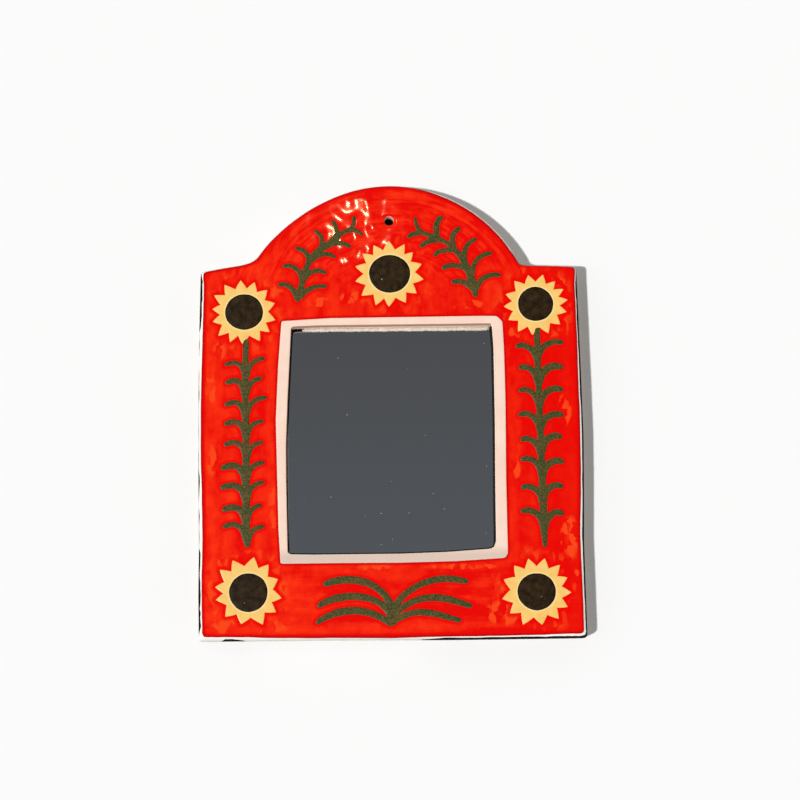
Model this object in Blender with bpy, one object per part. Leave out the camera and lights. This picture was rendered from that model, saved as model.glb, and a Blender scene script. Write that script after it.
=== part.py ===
"""Ceramic wall mirror: an arched slab frame with painted sunflowers, and a mirror seated in it from behind.

Metres. +Z is up, X runs to the right and the mirror faces -Y. The origin lies on the axis of the
hanging hole, in the plane of the wall.
"""

import math

import bmesh
import bpy
from mathutils import Matrix, Vector

# Between pieces that touch
GAP = 0.0003

# Frame, seen from the front
WINDOW_WIDTH = 0.117
WINDOW_HEIGHT = 0.129
WINDOW_CORNER = 0.002
SIDE_RAIL = 0.0525
BOTTOM_RAIL = 0.051
TOP_RAIL = 0.036
SHOULDER_WIDTH = 0.034
ARCH_RISE = 0.0485
CORNER_RADIUS = 0.0045
NOTCH_FILLET = 0.0025
EDGE_ROUND = 0.0035
FRAME_THICKNESS = 0.014

# Hanging hole
HOLE_DIAMETER = 0.006
HOLE_BELOW_TOP = 0.0215

# Mirror and what holds it in its pocket, from the front to the back
SEAT_WIDTH = 0.008
POCKET_CLEARANCE = 0.0006
POCKET_CORNER = 0.0015
BEAD_THICKNESS = 0.0008
BEAD_SETBACK = 0.001
BEAD_SQUEEZE_OUT = 0.0013
BEAD_LATE_START = 0.006
BEAD_END_GAP = 0.004
GLASS_THICKNESS = 0.003
SILVERING_THICKNESS = 0.0002
SILVERING_SETBACK = 0.0005
BOARD_THICKNESS = 0.002

# Back
TAPE_WIDTH = 0.018
TAPE_THICKNESS = 0.0002
TAPE_OVER_FRAME = 0.009
PAD_DIAMETER = 0.014
PAD_THICKNESS = 0.002
PAD_MARGIN = 0.006

# Painted ornament, laid on the front as thick glaze
GLAZE_THICKNESS = 0.0004
BORDER_WIDTH = 0.0064
BORDER_CORNER = 0.003
FLOWER_MARGIN = 0.004
TOP_FLOWER_SHIFT = 0.0035
BOTTOM_FLOWER_SHIFT = 0.0063
PETAL_DEPTH = 0.0043
PETAL_SWELL = 0.0002
DISC_RIM = 0.0082
TOP_FLOWER_MARGIN = 0.005
BOTTOM_FLOWER_MARGIN = 0.008
CENTRE_FLOWER_DROP = 0.0019

# Leaves: a short one on the sprigs, a long one on the spray
STEM_WIDTH = 0.0038
LEAF_WIDTH = 0.003
LEAF_REACH = 0.0118
LEAF_FOOT = 0.0086
LEAF_CROTCH = 0.0022
LEAF_UNDER_BOW = 0.0032
LEAF_TOP_BOW = 0.0024
SPRIG_GAP = 0.0012
SPRIG_FOOT_GAP = 0.0065
SPRIG_HEAD = 0.012
SPRIG_TAIL = 0.0125
ARCH_SPRIG_HEAD = 0.007
ARCH_SPRIG_TAIL = 0.0095
ARCH_SPRIG_FOOT = (0.053, 0.0095)
ARCH_SPRIG_TIP = (0.021, 0.058)
ARCH_SPRIG_BOW = 0.007
SPRAY_MARGIN = 0.009
SPRAY_REACH = 0.0425
SPRAY_STALK_WIDTH = 0.006
SPRAY_STEP = 0.0068
SPRAY_TIP_STEP = 0.0107
SPRAY_BOW = 0.0065

# Petals of each sunflower, and how far its first petal is turned from straight up, in degrees
SUNFLOWERS = {
    "top_centre": (14, 2),
    "top_left": (14, 6),
    "top_right": (14, 14),
    "bottom_left": (12, -9),
    "bottom_right": (13, 14),
}

# Pairs of leaves
LEFT_PAIRS = 9
RIGHT_PAIRS = 8
ARCH_PAIRS = 5
SPRAY_PAIRS = 3

# Heights and half widths that follow from the frame's sizes
frame_half = WINDOW_WIDTH / 2 + SIDE_RAIL
arch_half = frame_half - SHOULDER_WIDTH
arch_radius = (arch_half**2 + ARCH_RISE**2) / (2 * ARCH_RISE)
arch_centre_z = HOLE_BELOW_TOP - arch_radius
shoulder_z = HOLE_BELOW_TOP - ARCH_RISE
window_top = shoulder_z - TOP_RAIL
window_bottom = window_top - WINDOW_HEIGHT
bottom_z = window_bottom - BOTTOM_RAIL
border_half = WINDOW_WIDTH / 2 + BORDER_WIDTH
border_top = window_top + BORDER_WIDTH
border_bottom = window_bottom - BORDER_WIDTH
pocket_half = WINDOW_WIDTH / 2 + SEAT_WIDTH
pocket_top = window_top + SEAT_WIDTH
pocket_bottom = window_bottom - SEAT_WIDTH

# Depths along Y, from the wall at 0 to the front
frame_back = -(PAD_THICKNESS + GAP)
frame_front = frame_back - FRAME_THICKNESS
board_front = frame_back - BOARD_THICKNESS
silvering_front = board_front - GAP - SILVERING_THICKNESS
glass_front = silvering_front - GAP - GLASS_THICKNESS
bead_front = glass_front - GAP - BEAD_THICKNESS
seat_y = bead_front - GAP
glaze_front = frame_front - GAP - GLAZE_THICKNESS

# A sunflower fills the red of a side rail, less a margin on both sides
side_red = SIDE_RAIL - BORDER_WIDTH
flower_radius = side_red / 2 - FLOWER_MARGIN
disc_radius = flower_radius - DISC_RIM
rail_x = border_half + side_red / 2 - TOP_FLOWER_SHIFT
bottom_rail_x = border_half + side_red / 2 - BOTTOM_FLOWER_SHIFT
top_flower_z = shoulder_z - TOP_FLOWER_MARGIN - flower_radius
bottom_flower_z = bottom_z + BOTTOM_FLOWER_MARGIN + flower_radius
centre_flower_z = (border_top - HOLE_DIAMETER / 2) / 2 - CENTRE_FLOWER_DROP


def linear(hex_colour):
    """The linear RGBA of an sRGB colour written as six hex digits."""
    values = [int(hex_colour[i : i + 2], 16) / 255 for i in (0, 2, 4)]
    return [v / 12.92 if v <= 0.04045 else ((v + 0.055) / 1.055) ** 2.4 for v in values] + [1.0]


def make_material(name, hex_colour, roughness, metallic=0.0):
    """A plain Principled material."""
    material = bpy.data.materials.new(name)
    material.use_nodes = True
    shader = material.node_tree.nodes["Principled BSDF"]
    shader.inputs["Base Color"].default_value = linear(hex_colour)
    shader.inputs["Roughness"].default_value = roughness
    shader.inputs["Metallic"].default_value = metallic
    material.diffuse_color = linear(hex_colour)
    return material


def arc(centre, radius, start, end, steps):
    """Points on a circle from one angle to another, in degrees."""
    angles = [math.radians(start + (end - start) * i / steps) for i in range(steps + 1)]
    return [(centre[0] + radius * math.cos(a), centre[1] + radius * math.sin(a)) for a in angles]


def circle(centre, radius, steps):
    """A closed circle, without its first point repeated."""
    return arc(centre, radius, 0, 360, steps)[:-1]


def rectangle(left, right, bottom, top):
    """A rectangle with sharp corners."""
    return [(right, top), (left, top), (left, bottom), (right, bottom)]


def rounded(left, right, bottom, top, radius):
    """A rectangle with round corners."""
    points = arc((right - radius, top - radius), radius, 0, 90, 4)
    points += arc((left + radius, top - radius), radius, 90, 180, 4)
    points += arc((left + radius, bottom + radius), radius, 180, 270, 4)
    points += arc((right - radius, bottom + radius), radius, 270, 360, 4)
    return points


def frame_outline(inset):
    """The arch-topped outline, moved inwards by an inset. The right half is drawn, then mirrored."""
    corner_x = frame_half - CORNER_RADIUS
    corner = CORNER_RADIUS - inset
    fillet = NOTCH_FILLET + inset
    arch = arch_radius - inset
    notch_z = shoulder_z - inset + fillet
    notch_x = math.sqrt((arch + fillet) ** 2 - (notch_z - arch_centre_z) ** 2)
    arch_start = math.degrees(math.atan2(notch_z - arch_centre_z, notch_x))
    right = arc((corner_x, bottom_z + CORNER_RADIUS), corner, -90, 0, 5)
    right += arc((corner_x, shoulder_z - CORNER_RADIUS), corner, 0, 90, 5)
    right += arc((notch_x, notch_z), fillet, -90, arch_start - 180, 5)
    right += arc((0.0, arch_centre_z), arch, arch_start, 90, 22)[1:]
    return right + [(-x, z) for x, z in reversed(right[:-1])]


def petal_outline(centre, petals, turn):
    """A ring of pointed petals, with sides that swell a little between each valley and its tip."""
    valley = flower_radius - PETAL_DEPTH
    side = (valley + flower_radius) / 2 + PETAL_SWELL
    step = 2 * math.pi / petals
    points = []
    for petal in range(petals):
        for quarter, radius in enumerate((flower_radius, side, valley, side)):
            angle = math.radians(90 + turn) + step * (petal + quarter / 4)
            points.append((centre[0] + radius * math.cos(angle), centre[1] + radius * math.sin(angle)))
    return points


def bowed(start, end, bow):
    """A shallow parabola from start to end, bulging by bow to the left of the way it runs."""
    steps = 5
    across = Vector((start.y - end.y, end.x - start.x)).normalized()
    shares = [i / steps for i in range(steps + 1)]
    return [start.lerp(end, t) + across * (4 * bow * t * (1 - t)) for t in shares]


def leaf(foot, crotch, tip, up, side, under_bow, top_bow):
    """A leaf, from its foot on the stem along its lower edge, round its tip and back to its crotch."""
    low = tip - up * LEAF_WIDTH
    out = Vector((up.y, -up.x)) * side
    cap = (low + tip) / 2 + out * LEAF_WIDTH * 0.45
    return bowed(foot, low, under_bow * side) + [cap] + bowed(tip, crotch, -top_bow * side)


def sprig_outline(stem, length, pairs, tail, head):
    """A stem with short leaves in pairs. stem(d) is its middle line at a distance d from its foot.

    Each leaf leaves the stem below the height of its own tip, and curves over to lie across it.
    The tips run from the tail, a distance above the foot, to the head, a distance below the top.
    """
    half = STEM_WIDTH / 2
    step = (length - head - tail) / (pairs - 1)

    def frame_at(distance):
        up = (stem(distance + half) - stem(distance - half)).normalized()
        return stem(distance), up, Vector((up.y, -up.x))

    def on_edge(distance, side):
        point, _, right = frame_at(distance)
        return point + right * half * side

    edges = []
    for side in (1, -1):
        edge = [on_edge(0.0, side * 0.6)]
        for pair in range(pairs):
            height = tail + step * pair
            point, up, right = frame_at(height)
            foot = on_edge(height - LEAF_FOOT, side)
            crotch = on_edge(height - LEAF_CROTCH, side)
            tip = point + right * LEAF_REACH * side
            edge += leaf(foot, crotch, tip, up, side, LEAF_UNDER_BOW, LEAF_TOP_BOW)
        edges.append(edge + [on_edge(length, side * 0.8)])
    right_edge, left_edge = edges
    return right_edge + left_edge[::-1]


def spray_outline():
    """Long leaves in pairs from a short stalk on the centre line, the highest pair forking at its top."""
    half = SPRAY_STALK_WIDTH / 2
    stalk_z = bottom_z + SPRAY_MARGIN
    up = Vector((0.0, 1.0))
    edges = []
    for side in (1, -1):
        edge = []
        for pair in range(SPRAY_PAIRS):
            foot = Vector((side * half * (pair > 0), stalk_z + SPRAY_STEP * pair))
            crotch = Vector((side * half, stalk_z + SPRAY_STEP * (pair + 1) - GAP))
            tip = Vector((side * SPRAY_REACH, stalk_z + LEAF_WIDTH + SPRAY_TIP_STEP * pair))
            edge += leaf(foot, crotch, tip, up, side, SPRAY_BOW, SPRAY_BOW)
        edges.append(edge[:-1])
    right_edge, left_edge = edges
    fork = Vector((0.0, stalk_z + SPRAY_STEP * (SPRAY_PAIRS - 0.5)))
    return right_edge + [fork] + left_edge[:0:-1]


def plate(name, outlines, front, thickness, material, collection, edge_round=0.0):
    """A flat piece cut to outlines in X and Z, from y = front back to front + thickness.

    A second outline inside the first is a hole. The rims are round where edge_round is given; the
    outline is then drawn that much smaller.
    """
    drawing = bpy.data.curves.new(name, "CURVE")
    drawing.dimensions = "2D"
    drawing.fill_mode = "BOTH"
    drawing.extrude = thickness / 2 - edge_round
    drawing.bevel_depth = edge_round
    drawing.bevel_resolution = 2
    for outline in outlines:
        spline = drawing.splines.new("POLY")
        spline.points.add(len(outline) - 1)
        for point, (x, z) in zip(spline.points, outline):
            point.co = (x, z, 0.0, 1.0)
        spline.use_cyclic_u = True
    shape = bpy.data.objects.new(name, drawing)
    collection.objects.link(shape)
    mesh = bpy.data.meshes.new_from_object(shape.evaluated_get(bpy.context.evaluated_depsgraph_get()))
    bpy.data.objects.remove(shape)
    bpy.data.curves.remove(drawing)
    mesh.name = name
    middle = Matrix.Translation((0.0, front + thickness / 2, 0.0))
    mesh.transform(middle @ Matrix.Rotation(math.pi / 2, 4, "X"))
    weld = bmesh.new()
    weld.from_mesh(mesh)
    bmesh.ops.remove_doubles(weld, verts=weld.verts, dist=1e-6)
    bmesh.ops.recalc_face_normals(weld, faces=weld.faces)
    weld.to_mesh(mesh)
    weld.free()
    mesh.materials.clear()
    mesh.materials.append(material)
    piece = bpy.data.objects.new(name, mesh)
    collection.objects.link(piece)
    return piece


def cut(target, name, outline, front, material):
    """Cuts an outline out of the target, from y = front through its back. The walls get the material."""
    depth = frame_back + FRAME_THICKNESS - front
    cutter = plate(name, [outline], front, depth, material, cutters)
    cutter.hide_render = True
    cutter.display_type = "WIRE"
    boolean = target.modifiers.new(name, "BOOLEAN")
    boolean.operation = "DIFFERENCE"
    boolean.solver = "EXACT"
    boolean.material_mode = "TRANSFER"
    boolean.object = cutter


def make_frame():
    """One slab with round rims, cut through for the window and the nail, and from behind for the mirror."""
    slab = [frame_outline(EDGE_ROUND)]
    frame = plate("ceramic_frame", slab, frame_front, FRAME_THICKNESS, red_glaze, pieces, EDGE_ROUND)
    frame.data.materials.append(white_slip)
    for face in frame.data.polygons:
        face.material_index = 0 if face.normal.y < -0.7 else 1
    cut(frame, "window_cut", window_outline, frame_front - FRAME_THICKNESS, cream_glaze)
    pocket = rounded(-pocket_half, pocket_half, pocket_bottom, pocket_top, POCKET_CORNER)
    cut(frame, "pocket_cut", pocket, seat_y, white_slip)
    hole = circle((0.0, 0.0), HOLE_DIAMETER / 2, 24)
    cut(frame, "hole_cut", hole, frame_front - FRAME_THICKNESS, white_slip)


def in_pocket(inset):
    """An outline that leaves this much room inside the pocket's walls, with its corners cut to match."""
    half = pocket_half - inset
    return [rounded(-half, half, pocket_bottom + inset, pocket_top - inset, POCKET_CORNER)]


def make_mirror():
    """The pane, its coat and the board behind it, stacked in the pocket."""
    room = in_pocket(POCKET_CLEARANCE)
    coat = in_pocket(POCKET_CLEARANCE + SILVERING_SETBACK)
    plate("mirror_glass", room, glass_front, GLASS_THICKNESS, silvered_glass, pieces)
    plate("mirror_silvering", coat, silvering_front, SILVERING_THICKNESS, backing_paint, pieces)
    plate("backing_board", room, board_front, BOARD_THICKNESS, grey_board, pieces)


def make_adhesive():
    """Four runs of glue between the seat and the pane. The top run is squeezed out into the window."""
    outer = pocket_half - POCKET_CLEARANCE - POCKET_CORNER
    inner = WINDOW_WIDTH / 2 + BEAD_SETBACK
    top = pocket_top - POCKET_CLEARANCE - POCKET_CORNER
    bottom = pocket_bottom + POCKET_CLEARANCE + POCKET_CORNER
    side_top = window_top - BEAD_SQUEEZE_OUT - BEAD_END_GAP
    side_bottom = window_bottom + BEAD_END_GAP
    runs = {
        "top": (BEAD_LATE_START - WINDOW_WIDTH / 2, outer, window_top - BEAD_SQUEEZE_OUT, top),
        "bottom": (-outer, outer, bottom, window_bottom - BEAD_SETBACK),
        "left": (-outer, -inner, side_bottom, side_top),
        "right": (inner, outer, side_bottom, side_top),
    }
    for side, run in runs.items():
        plate("adhesive_" + side, [rectangle(*run)], bead_front, BEAD_THICKNESS, adhesive, pieces)


def make_tape():
    """Paper tape over the joint between the board and the frame."""
    outer = pocket_half + TAPE_OVER_FRAME
    top = pocket_top + TAPE_OVER_FRAME
    bottom = pocket_bottom - TAPE_OVER_FRAME
    side_top = top - TAPE_WIDTH - GAP
    side_bottom = bottom + TAPE_WIDTH + GAP
    runs = {
        "top": (-outer, outer, top - TAPE_WIDTH, top),
        "bottom": (-outer, outer, bottom, bottom + TAPE_WIDTH),
        "left": (-outer, TAPE_WIDTH - outer, side_bottom, side_top),
        "right": (outer - TAPE_WIDTH, outer, side_bottom, side_top),
    }
    for side, run in runs.items():
        plate("tape_" + side, [rectangle(*run)], frame_back + GAP, TAPE_THICKNESS, paper_tape, pieces)


def make_pads():
    """Felt pads near the corners of the back, which rest on the wall."""
    from_edge = PAD_MARGIN + PAD_DIAMETER / 2
    pad_x = frame_half - from_edge
    for height, pad_z in (("top", shoulder_z - from_edge), ("bottom", bottom_z + from_edge)):
        for side, x in (("left", -pad_x), ("right", pad_x)):
            pad = [circle((x, pad_z), PAD_DIAMETER / 2, 24)]
            plate(f"felt_pad_{height}_{side}", pad, -PAD_THICKNESS, PAD_THICKNESS, felt, pieces)


def paint(name, outlines, glaze):
    """A field of thick glaze on the front of the frame."""
    plate(name, outlines, glaze_front, GLAZE_THICKNESS, glaze, pieces)


def make_border():
    """The cream band round the window."""
    band = rounded(-border_half, border_half, border_bottom, border_top, BORDER_CORNER)
    paint("window_border", [band, window_outline], cream_glaze)


def make_sunflowers():
    """A ring of petals and a dark disc: one over the window, four near the corners."""
    places = {
        "top_centre": (0.0, centre_flower_z),
        "top_left": (-rail_x, top_flower_z),
        "top_right": (rail_x, top_flower_z),
        "bottom_left": (-bottom_rail_x, bottom_flower_z),
        "bottom_right": (bottom_rail_x, bottom_flower_z),
    }
    for where, (petals, turn) in SUNFLOWERS.items():
        place = places[where]
        ring = [petal_outline(place, petals, turn), circle(place, disc_radius + GAP, 28)]
        paint("petals_" + where, ring, yellow_glaze)
        paint("disc_" + where, [circle(place, disc_radius, 28)], brown_glaze)


def make_rail_sprigs():
    """An upright sprig on each side rail, between its two sunflowers."""
    foot_z = bottom_flower_z + flower_radius + SPRIG_FOOT_GAP
    length = top_flower_z - flower_radius - SPRIG_GAP - foot_z
    for name, x, pairs in (("sprig_left", -rail_x, LEFT_PAIRS), ("sprig_right", rail_x, RIGHT_PAIRS)):
        outline = sprig_outline(lambda d: Vector((x, foot_z + d)), length, pairs, SPRIG_TAIL, SPRIG_HEAD)
        paint(name, [outline], green_glaze)


def make_arch_sprigs():
    """A bent sprig on both sides of the top sunflower. Its ends are set out from the border's top middle."""
    for name, side in (("sprig_arch_left", -1), ("sprig_arch_right", 1)):
        foot = Vector((side * ARCH_SPRIG_FOOT[0], border_top + ARCH_SPRIG_FOOT[1]))
        tip = Vector((side * ARCH_SPRIG_TIP[0], border_top + ARCH_SPRIG_TIP[1]))
        length = (tip - foot).length
        bow = Vector((foot.y - tip.y, tip.x - foot.x)).normalized() * ARCH_SPRIG_BOW * -side

        def stem(distance):
            share = distance / length
            return foot.lerp(tip, share) + bow * (4 * share * (1 - share))

        outline = sprig_outline(stem, length, ARCH_PAIRS, ARCH_SPRIG_TAIL, ARCH_SPRIG_HEAD)
        paint(name, [outline], green_glaze)


for old in list(bpy.data.objects):
    bpy.data.objects.remove(old, do_unlink=True)

pieces = bpy.data.collections.new("ceramic_framed_mirror")
cutters = bpy.data.collections.new("cutters")
for group in (pieces, cutters):
    bpy.context.scene.collection.children.link(group)

red_glaze = make_material("red glaze", "EC1E10", 0.18)
white_slip = make_material("white slip", "EFEAE2", 0.45)
cream_glaze = make_material("cream glaze", "FBDFCB", 0.25)
yellow_glaze = make_material("yellow glaze", "FCCD72", 0.3)
brown_glaze = make_material("dark brown glaze", "302416", 0.25)
green_glaze = make_material("green glaze", "46553A", 0.3)
silvered_glass = make_material("silvered glass", "C9CDD0", 0.03, metallic=1.0)
backing_paint = make_material("mirror backing paint", "6E7072", 0.6)
adhesive = make_material("adhesive", "EFE6DA", 0.5)
grey_board = make_material("grey board", "8A7862", 0.85)
paper_tape = make_material("paper tape", "B8925F", 0.75)
felt = make_material("felt", "2F3A34", 0.95)

window_half = WINDOW_WIDTH / 2
window_outline = rounded(-window_half, window_half, window_bottom, window_top, WINDOW_CORNER)

make_frame()
make_mirror()
make_adhesive()
make_tape()
make_pads()
make_border()
make_sunflowers()
make_rail_sprigs()
make_arch_sprigs()
paint("spray_bottom", [spray_outline()], green_glaze)
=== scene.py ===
# %% [markdown]
# # A glazed ceramic wall mirror
# The object is one slab of earthenware with a window cut in it. A mirror pane is glued in from behind.
# The face is brushed with red glaze, round sunflowers and sprigs that were painted first and stand a
# little proud. The solids say where every piece is; this file makes the surfaces that the eye sees.

# %% The solids
import math

import bpy
import numpy as np
from mathutils import Matrix, Vector


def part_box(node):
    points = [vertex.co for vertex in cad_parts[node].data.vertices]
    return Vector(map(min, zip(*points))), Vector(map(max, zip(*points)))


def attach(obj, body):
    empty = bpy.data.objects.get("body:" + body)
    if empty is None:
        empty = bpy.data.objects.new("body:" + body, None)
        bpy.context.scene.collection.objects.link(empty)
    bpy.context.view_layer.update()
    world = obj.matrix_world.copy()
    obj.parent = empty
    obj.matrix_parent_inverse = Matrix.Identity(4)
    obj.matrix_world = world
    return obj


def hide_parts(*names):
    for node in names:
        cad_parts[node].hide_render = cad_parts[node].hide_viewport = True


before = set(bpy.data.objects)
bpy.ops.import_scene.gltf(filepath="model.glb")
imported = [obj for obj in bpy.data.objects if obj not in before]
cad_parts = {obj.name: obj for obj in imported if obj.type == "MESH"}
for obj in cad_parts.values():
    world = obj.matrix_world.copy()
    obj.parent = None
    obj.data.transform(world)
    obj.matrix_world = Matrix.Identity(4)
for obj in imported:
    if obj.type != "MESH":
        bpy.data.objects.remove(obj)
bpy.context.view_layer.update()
MM = 0.001

# %% [markdown]
# ## Where the camera stands
# The photograph was taken almost square on, from a little below and to the left. A camera is three unit
# vectors and a place, so these are worked out from two angles and a roll, and the matrix is filled in
# column by column. That is easier to check than a chain of rotations.

# %% Camera
FACE_Y = -16.3
AIM = np.array([5.0, FACE_Y, -105.8])
DISTANCE = 1086.0
YAW, PITCH, ROLL = np.radians([-1.529, -8.583, -0.791])
away = np.array([np.sin(YAW) * np.cos(PITCH), -np.cos(YAW) * np.cos(PITCH), np.sin(PITCH)])
level = np.cross(-away, [0, 0, 1])
level /= np.linalg.norm(level)
upright = np.cross(level, -away)
camera_right = level * np.cos(ROLL) + upright * np.sin(ROLL)
camera_up = upright * np.cos(ROLL) - level * np.sin(ROLL)
eye = AIM + DISTANCE * away
place = np.eye(4)
place[:3] = np.column_stack([camera_right, camera_up, away, eye * MM])
lens = bpy.data.cameras.new("camera")
lens.lens = 85
lens.sensor_width = 36
camera = bpy.data.objects.new("camera", lens)
camera.matrix_world = Matrix(place.tolist())
bpy.context.scene.collection.objects.link(camera)
bpy.context.scene.camera = camera
print("camera at", (eye * MM).round(3))

# %% [markdown]
# ## Colours and shader nodes
# Colours are written as the eye sees them, in sRGB, and one function makes them linear. One small function
# adds a shader node: its settings by name, and each input as a value, as another node's output, or as a
# whole node, whose first output in use is then meant. A finish starts from plain values on its shader's own
# sockets. It is dressed last: tints laid over each other, each by its share, and a fine relief.

# %% Colour and node helpers


def linear(hex_colour):
    """The linear RGBA of six sRGB hex digits: the sRGB curve undone for each channel."""
    value = np.array([int(hex_colour[i : i + 2], 16) for i in (0, 2, 4)]) / 255
    value = np.where(value <= 0.04045, value / 12.92, ((value + 0.055) / 1.055) ** 2.4)
    return (*value.tolist(), 1.0)


def put(tree, socket, value):
    """Sets an input to a value, or links it to an output or to the first output that a node has in use."""
    if isinstance(value, bpy.types.Node):
        value = next(output for output in value.outputs if output.enabled)
    if isinstance(value, bpy.types.NodeSocket):
        tree.links.new(value, socket)
    else:
        socket.default_value = value


def add(tree, kind, sockets=None, **settings):
    """Adds one shader node, with its settings, and with its inputs set to values or linked."""
    made = tree.nodes.new("ShaderNode" + kind)
    for name, value in settings.items():
        setattr(made, name, value)
    for key, value in (sockets or {}).items():
        put(tree, made.inputs[key], value)
    return made


def finish(name, **values):
    """A new material with plain values on its shader's sockets: with its nodes and its Object coordinates."""
    material = bpy.data.materials.new(name)
    material.use_nodes = True
    tree = material.node_tree
    for key, value in values.items():
        tree.nodes["Principled BSDF"].inputs[key.replace("_", " ")].default_value = value
    return material, tree, add(tree, "TexCoord").outputs["Object"]


def dress(tree, tint, layers, height=None, depth=0.0, **linked):
    """Lays tints over a first one, each by its share, and raises a height by a depth in millimetres."""
    shader = tree.nodes["Principled BSDF"]
    colour = linear(tint)
    for share, over in layers:
        colour = add(tree, "Mix", {0: share, 6: colour, 7: linear(over)}, data_type="RGBA")
    linked["Base Color"] = colour
    if height is not None:
        linked["Normal"] = add(tree, "Bump", {"Strength": 1.0, "Distance": depth * MM, "Height": height})
    for key, value in linked.items():
        put(tree, shader.inputs[key], value)


print("half grey is", round(linear("808080")[0], 3), "of white")

# %% [markdown]
# ## Studio
# The mirror hangs a felt pad's thickness off a white wall. Behind the hanging hole the wall has a dark spot:
# painted shade, for the dark that the hole looks into. A pane shows what stands in front of it, so a slate
# grey board behind the camera is what the mirror reflects. Both are flat cards, as nobody sees how thick they
# are.

# %% Wall and board
HOLE_SHADE_RADIUS = 7.0
WALL_HALF, WALL_Y = 3.0, 0.0003
BOARD_Y, BOARD_LOW, BOARD_HIGH = -1.7, (-1.9, -1.4), (2.1, 2.4)


def card(name, corners, material):
    """A flat stage card from four corners in metres."""
    mesh = bpy.data.meshes.new(name)
    mesh.from_pydata(corners, [], [(0, 1, 2, 3)])
    mesh.materials.append(material)
    made = bpy.data.objects.new(name, mesh)
    bpy.context.scene.collection.objects.link(made)
    return made


# Matt emulsion: even and shadow-taking. Its rear is clear, so that the back of the mirror can be looked at.
paint, tree, spot = finish("white wall paint", Roughness=0.9, Specular_IOR_Level=0.1)
# Painted shade: a dark disc on the wall behind the hanging hole, for the dark that the hole looks into.
from_hole_axis = add(tree, "VectorMath", {0: spot}, operation="LENGTH")
painted_shade_disc = add(tree, "MapRange", {0: from_hole_axis, 1: HOLE_SHADE_RADIUS * MM, 2: (HOLE_SHADE_RADIUS - 0.5) * MM})
dress(tree, "FAFAFA", [(painted_shade_disc, "14110F")])
side = add(tree, "NewGeometry").outputs["Backfacing"]
clear = add(tree, "BsdfTransparent")
seen = add(tree, "MixShader", {0: side, 1: tree.nodes["Principled BSDF"], 2: clear})
put(tree, tree.nodes["Material Output"].inputs["Surface"], seen)
turns = [(-1, -1), (1, -1), (1, 1), (-1, 1)]
wall = card("wall", [(x * WALL_HALF, WALL_Y, z * WALL_HALF) for x, z in turns], paint)
wall.visible_shadow = False
wall.visible_diffuse = False

# The board glows by itself, a little darker upwards, and only mirrors see it.
slate = bpy.data.materials.new("slate grey board")
slate.use_nodes = True
tree = slate.node_tree
tree.nodes.clear()
height = add(tree, "SeparateXYZ", {0: add(tree, "TexCoord").outputs["Object"]}).outputs["Z"]
share = add(tree, "MapRange", {0: height, 1: -0.07, 2: 0.24})
tone = add(tree, "Mix", {0: share, 6: linear("5B5E62"), 7: linear("555557")}, data_type="RGBA")
add(tree, "OutputMaterial", {"Surface": add(tree, "Emission", {"Color": tone})})
(left, foot), (right, top) = BOARD_LOW, BOARD_HIGH
corners = [(left, foot), (left, top), (right, top), (right, foot)]
board = card("board", [(x, BOARD_Y, z) for x, z in corners], slate)
for ray in ("camera", "diffuse", "shadow", "transmission", "volume_scatter"):
    setattr(board, "visible_" + ray, False)
print("wall", 2 * WALL_HALF, "m wide, board", -BOARD_Y, "m in front of it")

# %% [markdown]
# The light is a lamp to the left and a little below, small enough for the crisp shadow on the right, and an
# even fill from all round. A second, tiny lamp stands where the arch mirrors it to the camera: it adds no
# light to speak of, but the glaze glints in it. A third one lights the rear, for a look from behind.

# %% Lamps and fill
KEY_TRAVEL = np.array([0.53, 1.0, 0.23])
KEY_STRENGTH, KEY_WIDE = 2.52, 3.0
FILL, BACKDROP = 0.31, 0.95
GLINT_POINT = np.array([-21.5, FACE_Y, -3.0])
GLINT_REACH, GLINT_STRENGTH, GLINT_SIZE = 1.25, 0.16, 0.016
REAR_LAMP, REAR_STRENGTH, REAR_SIZE = (-500, 1500, 500), 7, 1.2


def lamp(name, kind, place_mm, target_mm, energy, **settings):
    """A lamp at a place, turned to a target, both in millimetres."""
    data = bpy.data.lights.new(name, kind)
    data.energy = energy
    for key, value in settings.items():
        setattr(data, key, value)
    made = bpy.data.objects.new(name, data)
    made.location = Vector(place_mm) * MM
    made.rotation_euler = (Vector(target_mm) - Vector(place_mm)).to_track_quat("-Z", "Y").to_euler()
    bpy.context.scene.collection.objects.link(made)


middle = np.array([0.0, FACE_Y, -110.0])
# A sun's place doesn't matter, only the way it points.
lamp("key", "SUN", middle - 2000 * KEY_TRAVEL, middle, KEY_STRENGTH, angle=math.radians(KEY_WIDE))
glint_place = GLINT_POINT + (eye - GLINT_POINT) * np.array([-1, 1, -1]) * GLINT_REACH
warm = {"shape": "DISK", "size": GLINT_SIZE, "color": linear("FFEBB4")[:3]}
lamp("glint", "AREA", glint_place, GLINT_POINT, GLINT_STRENGTH, **warm)
lamp("back_fill", "AREA", REAR_LAMP, (0, 0, -110), REAR_STRENGTH, shape="SQUARE", size=REAR_SIZE)

world = bpy.data.worlds.new("studio")
bpy.context.scene.world = world
world.use_nodes = True
tree = world.node_tree
ray = add(tree, "LightPath")
shown = ray.outputs["Is Camera Ray"]
for other in ("Is Glossy Ray", "Is Transmission Ray"):
    shown = add(tree, "Math", {0: shown, 1: ray.outputs[other]}, operation="MAXIMUM")
strength = add(tree, "Mix", {0: shown, 2: FILL, 3: BACKDROP})
put(tree, tree.nodes["Background"].inputs["Strength"], strength)
tree.nodes["Background"].inputs["Color"].default_value = (1, 1, 1, 1)
bpy.context.scene.view_settings.view_transform = "Standard"
print("key travels", KEY_TRAVEL, "glint lamp at", (glint_place * MM).round(3))

# %% [markdown]
# ## From arrays to meshes
# Every new piece is a set of whole arrays: its points, its faces as rows of corner numbers, and what its
# material wants to know at each point. A closed surface encloses a positive volume when its faces look out,
# so the sum of signed tetrahedra tells whether the rows have to be turned round.

# %% Mesh helpers


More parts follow.
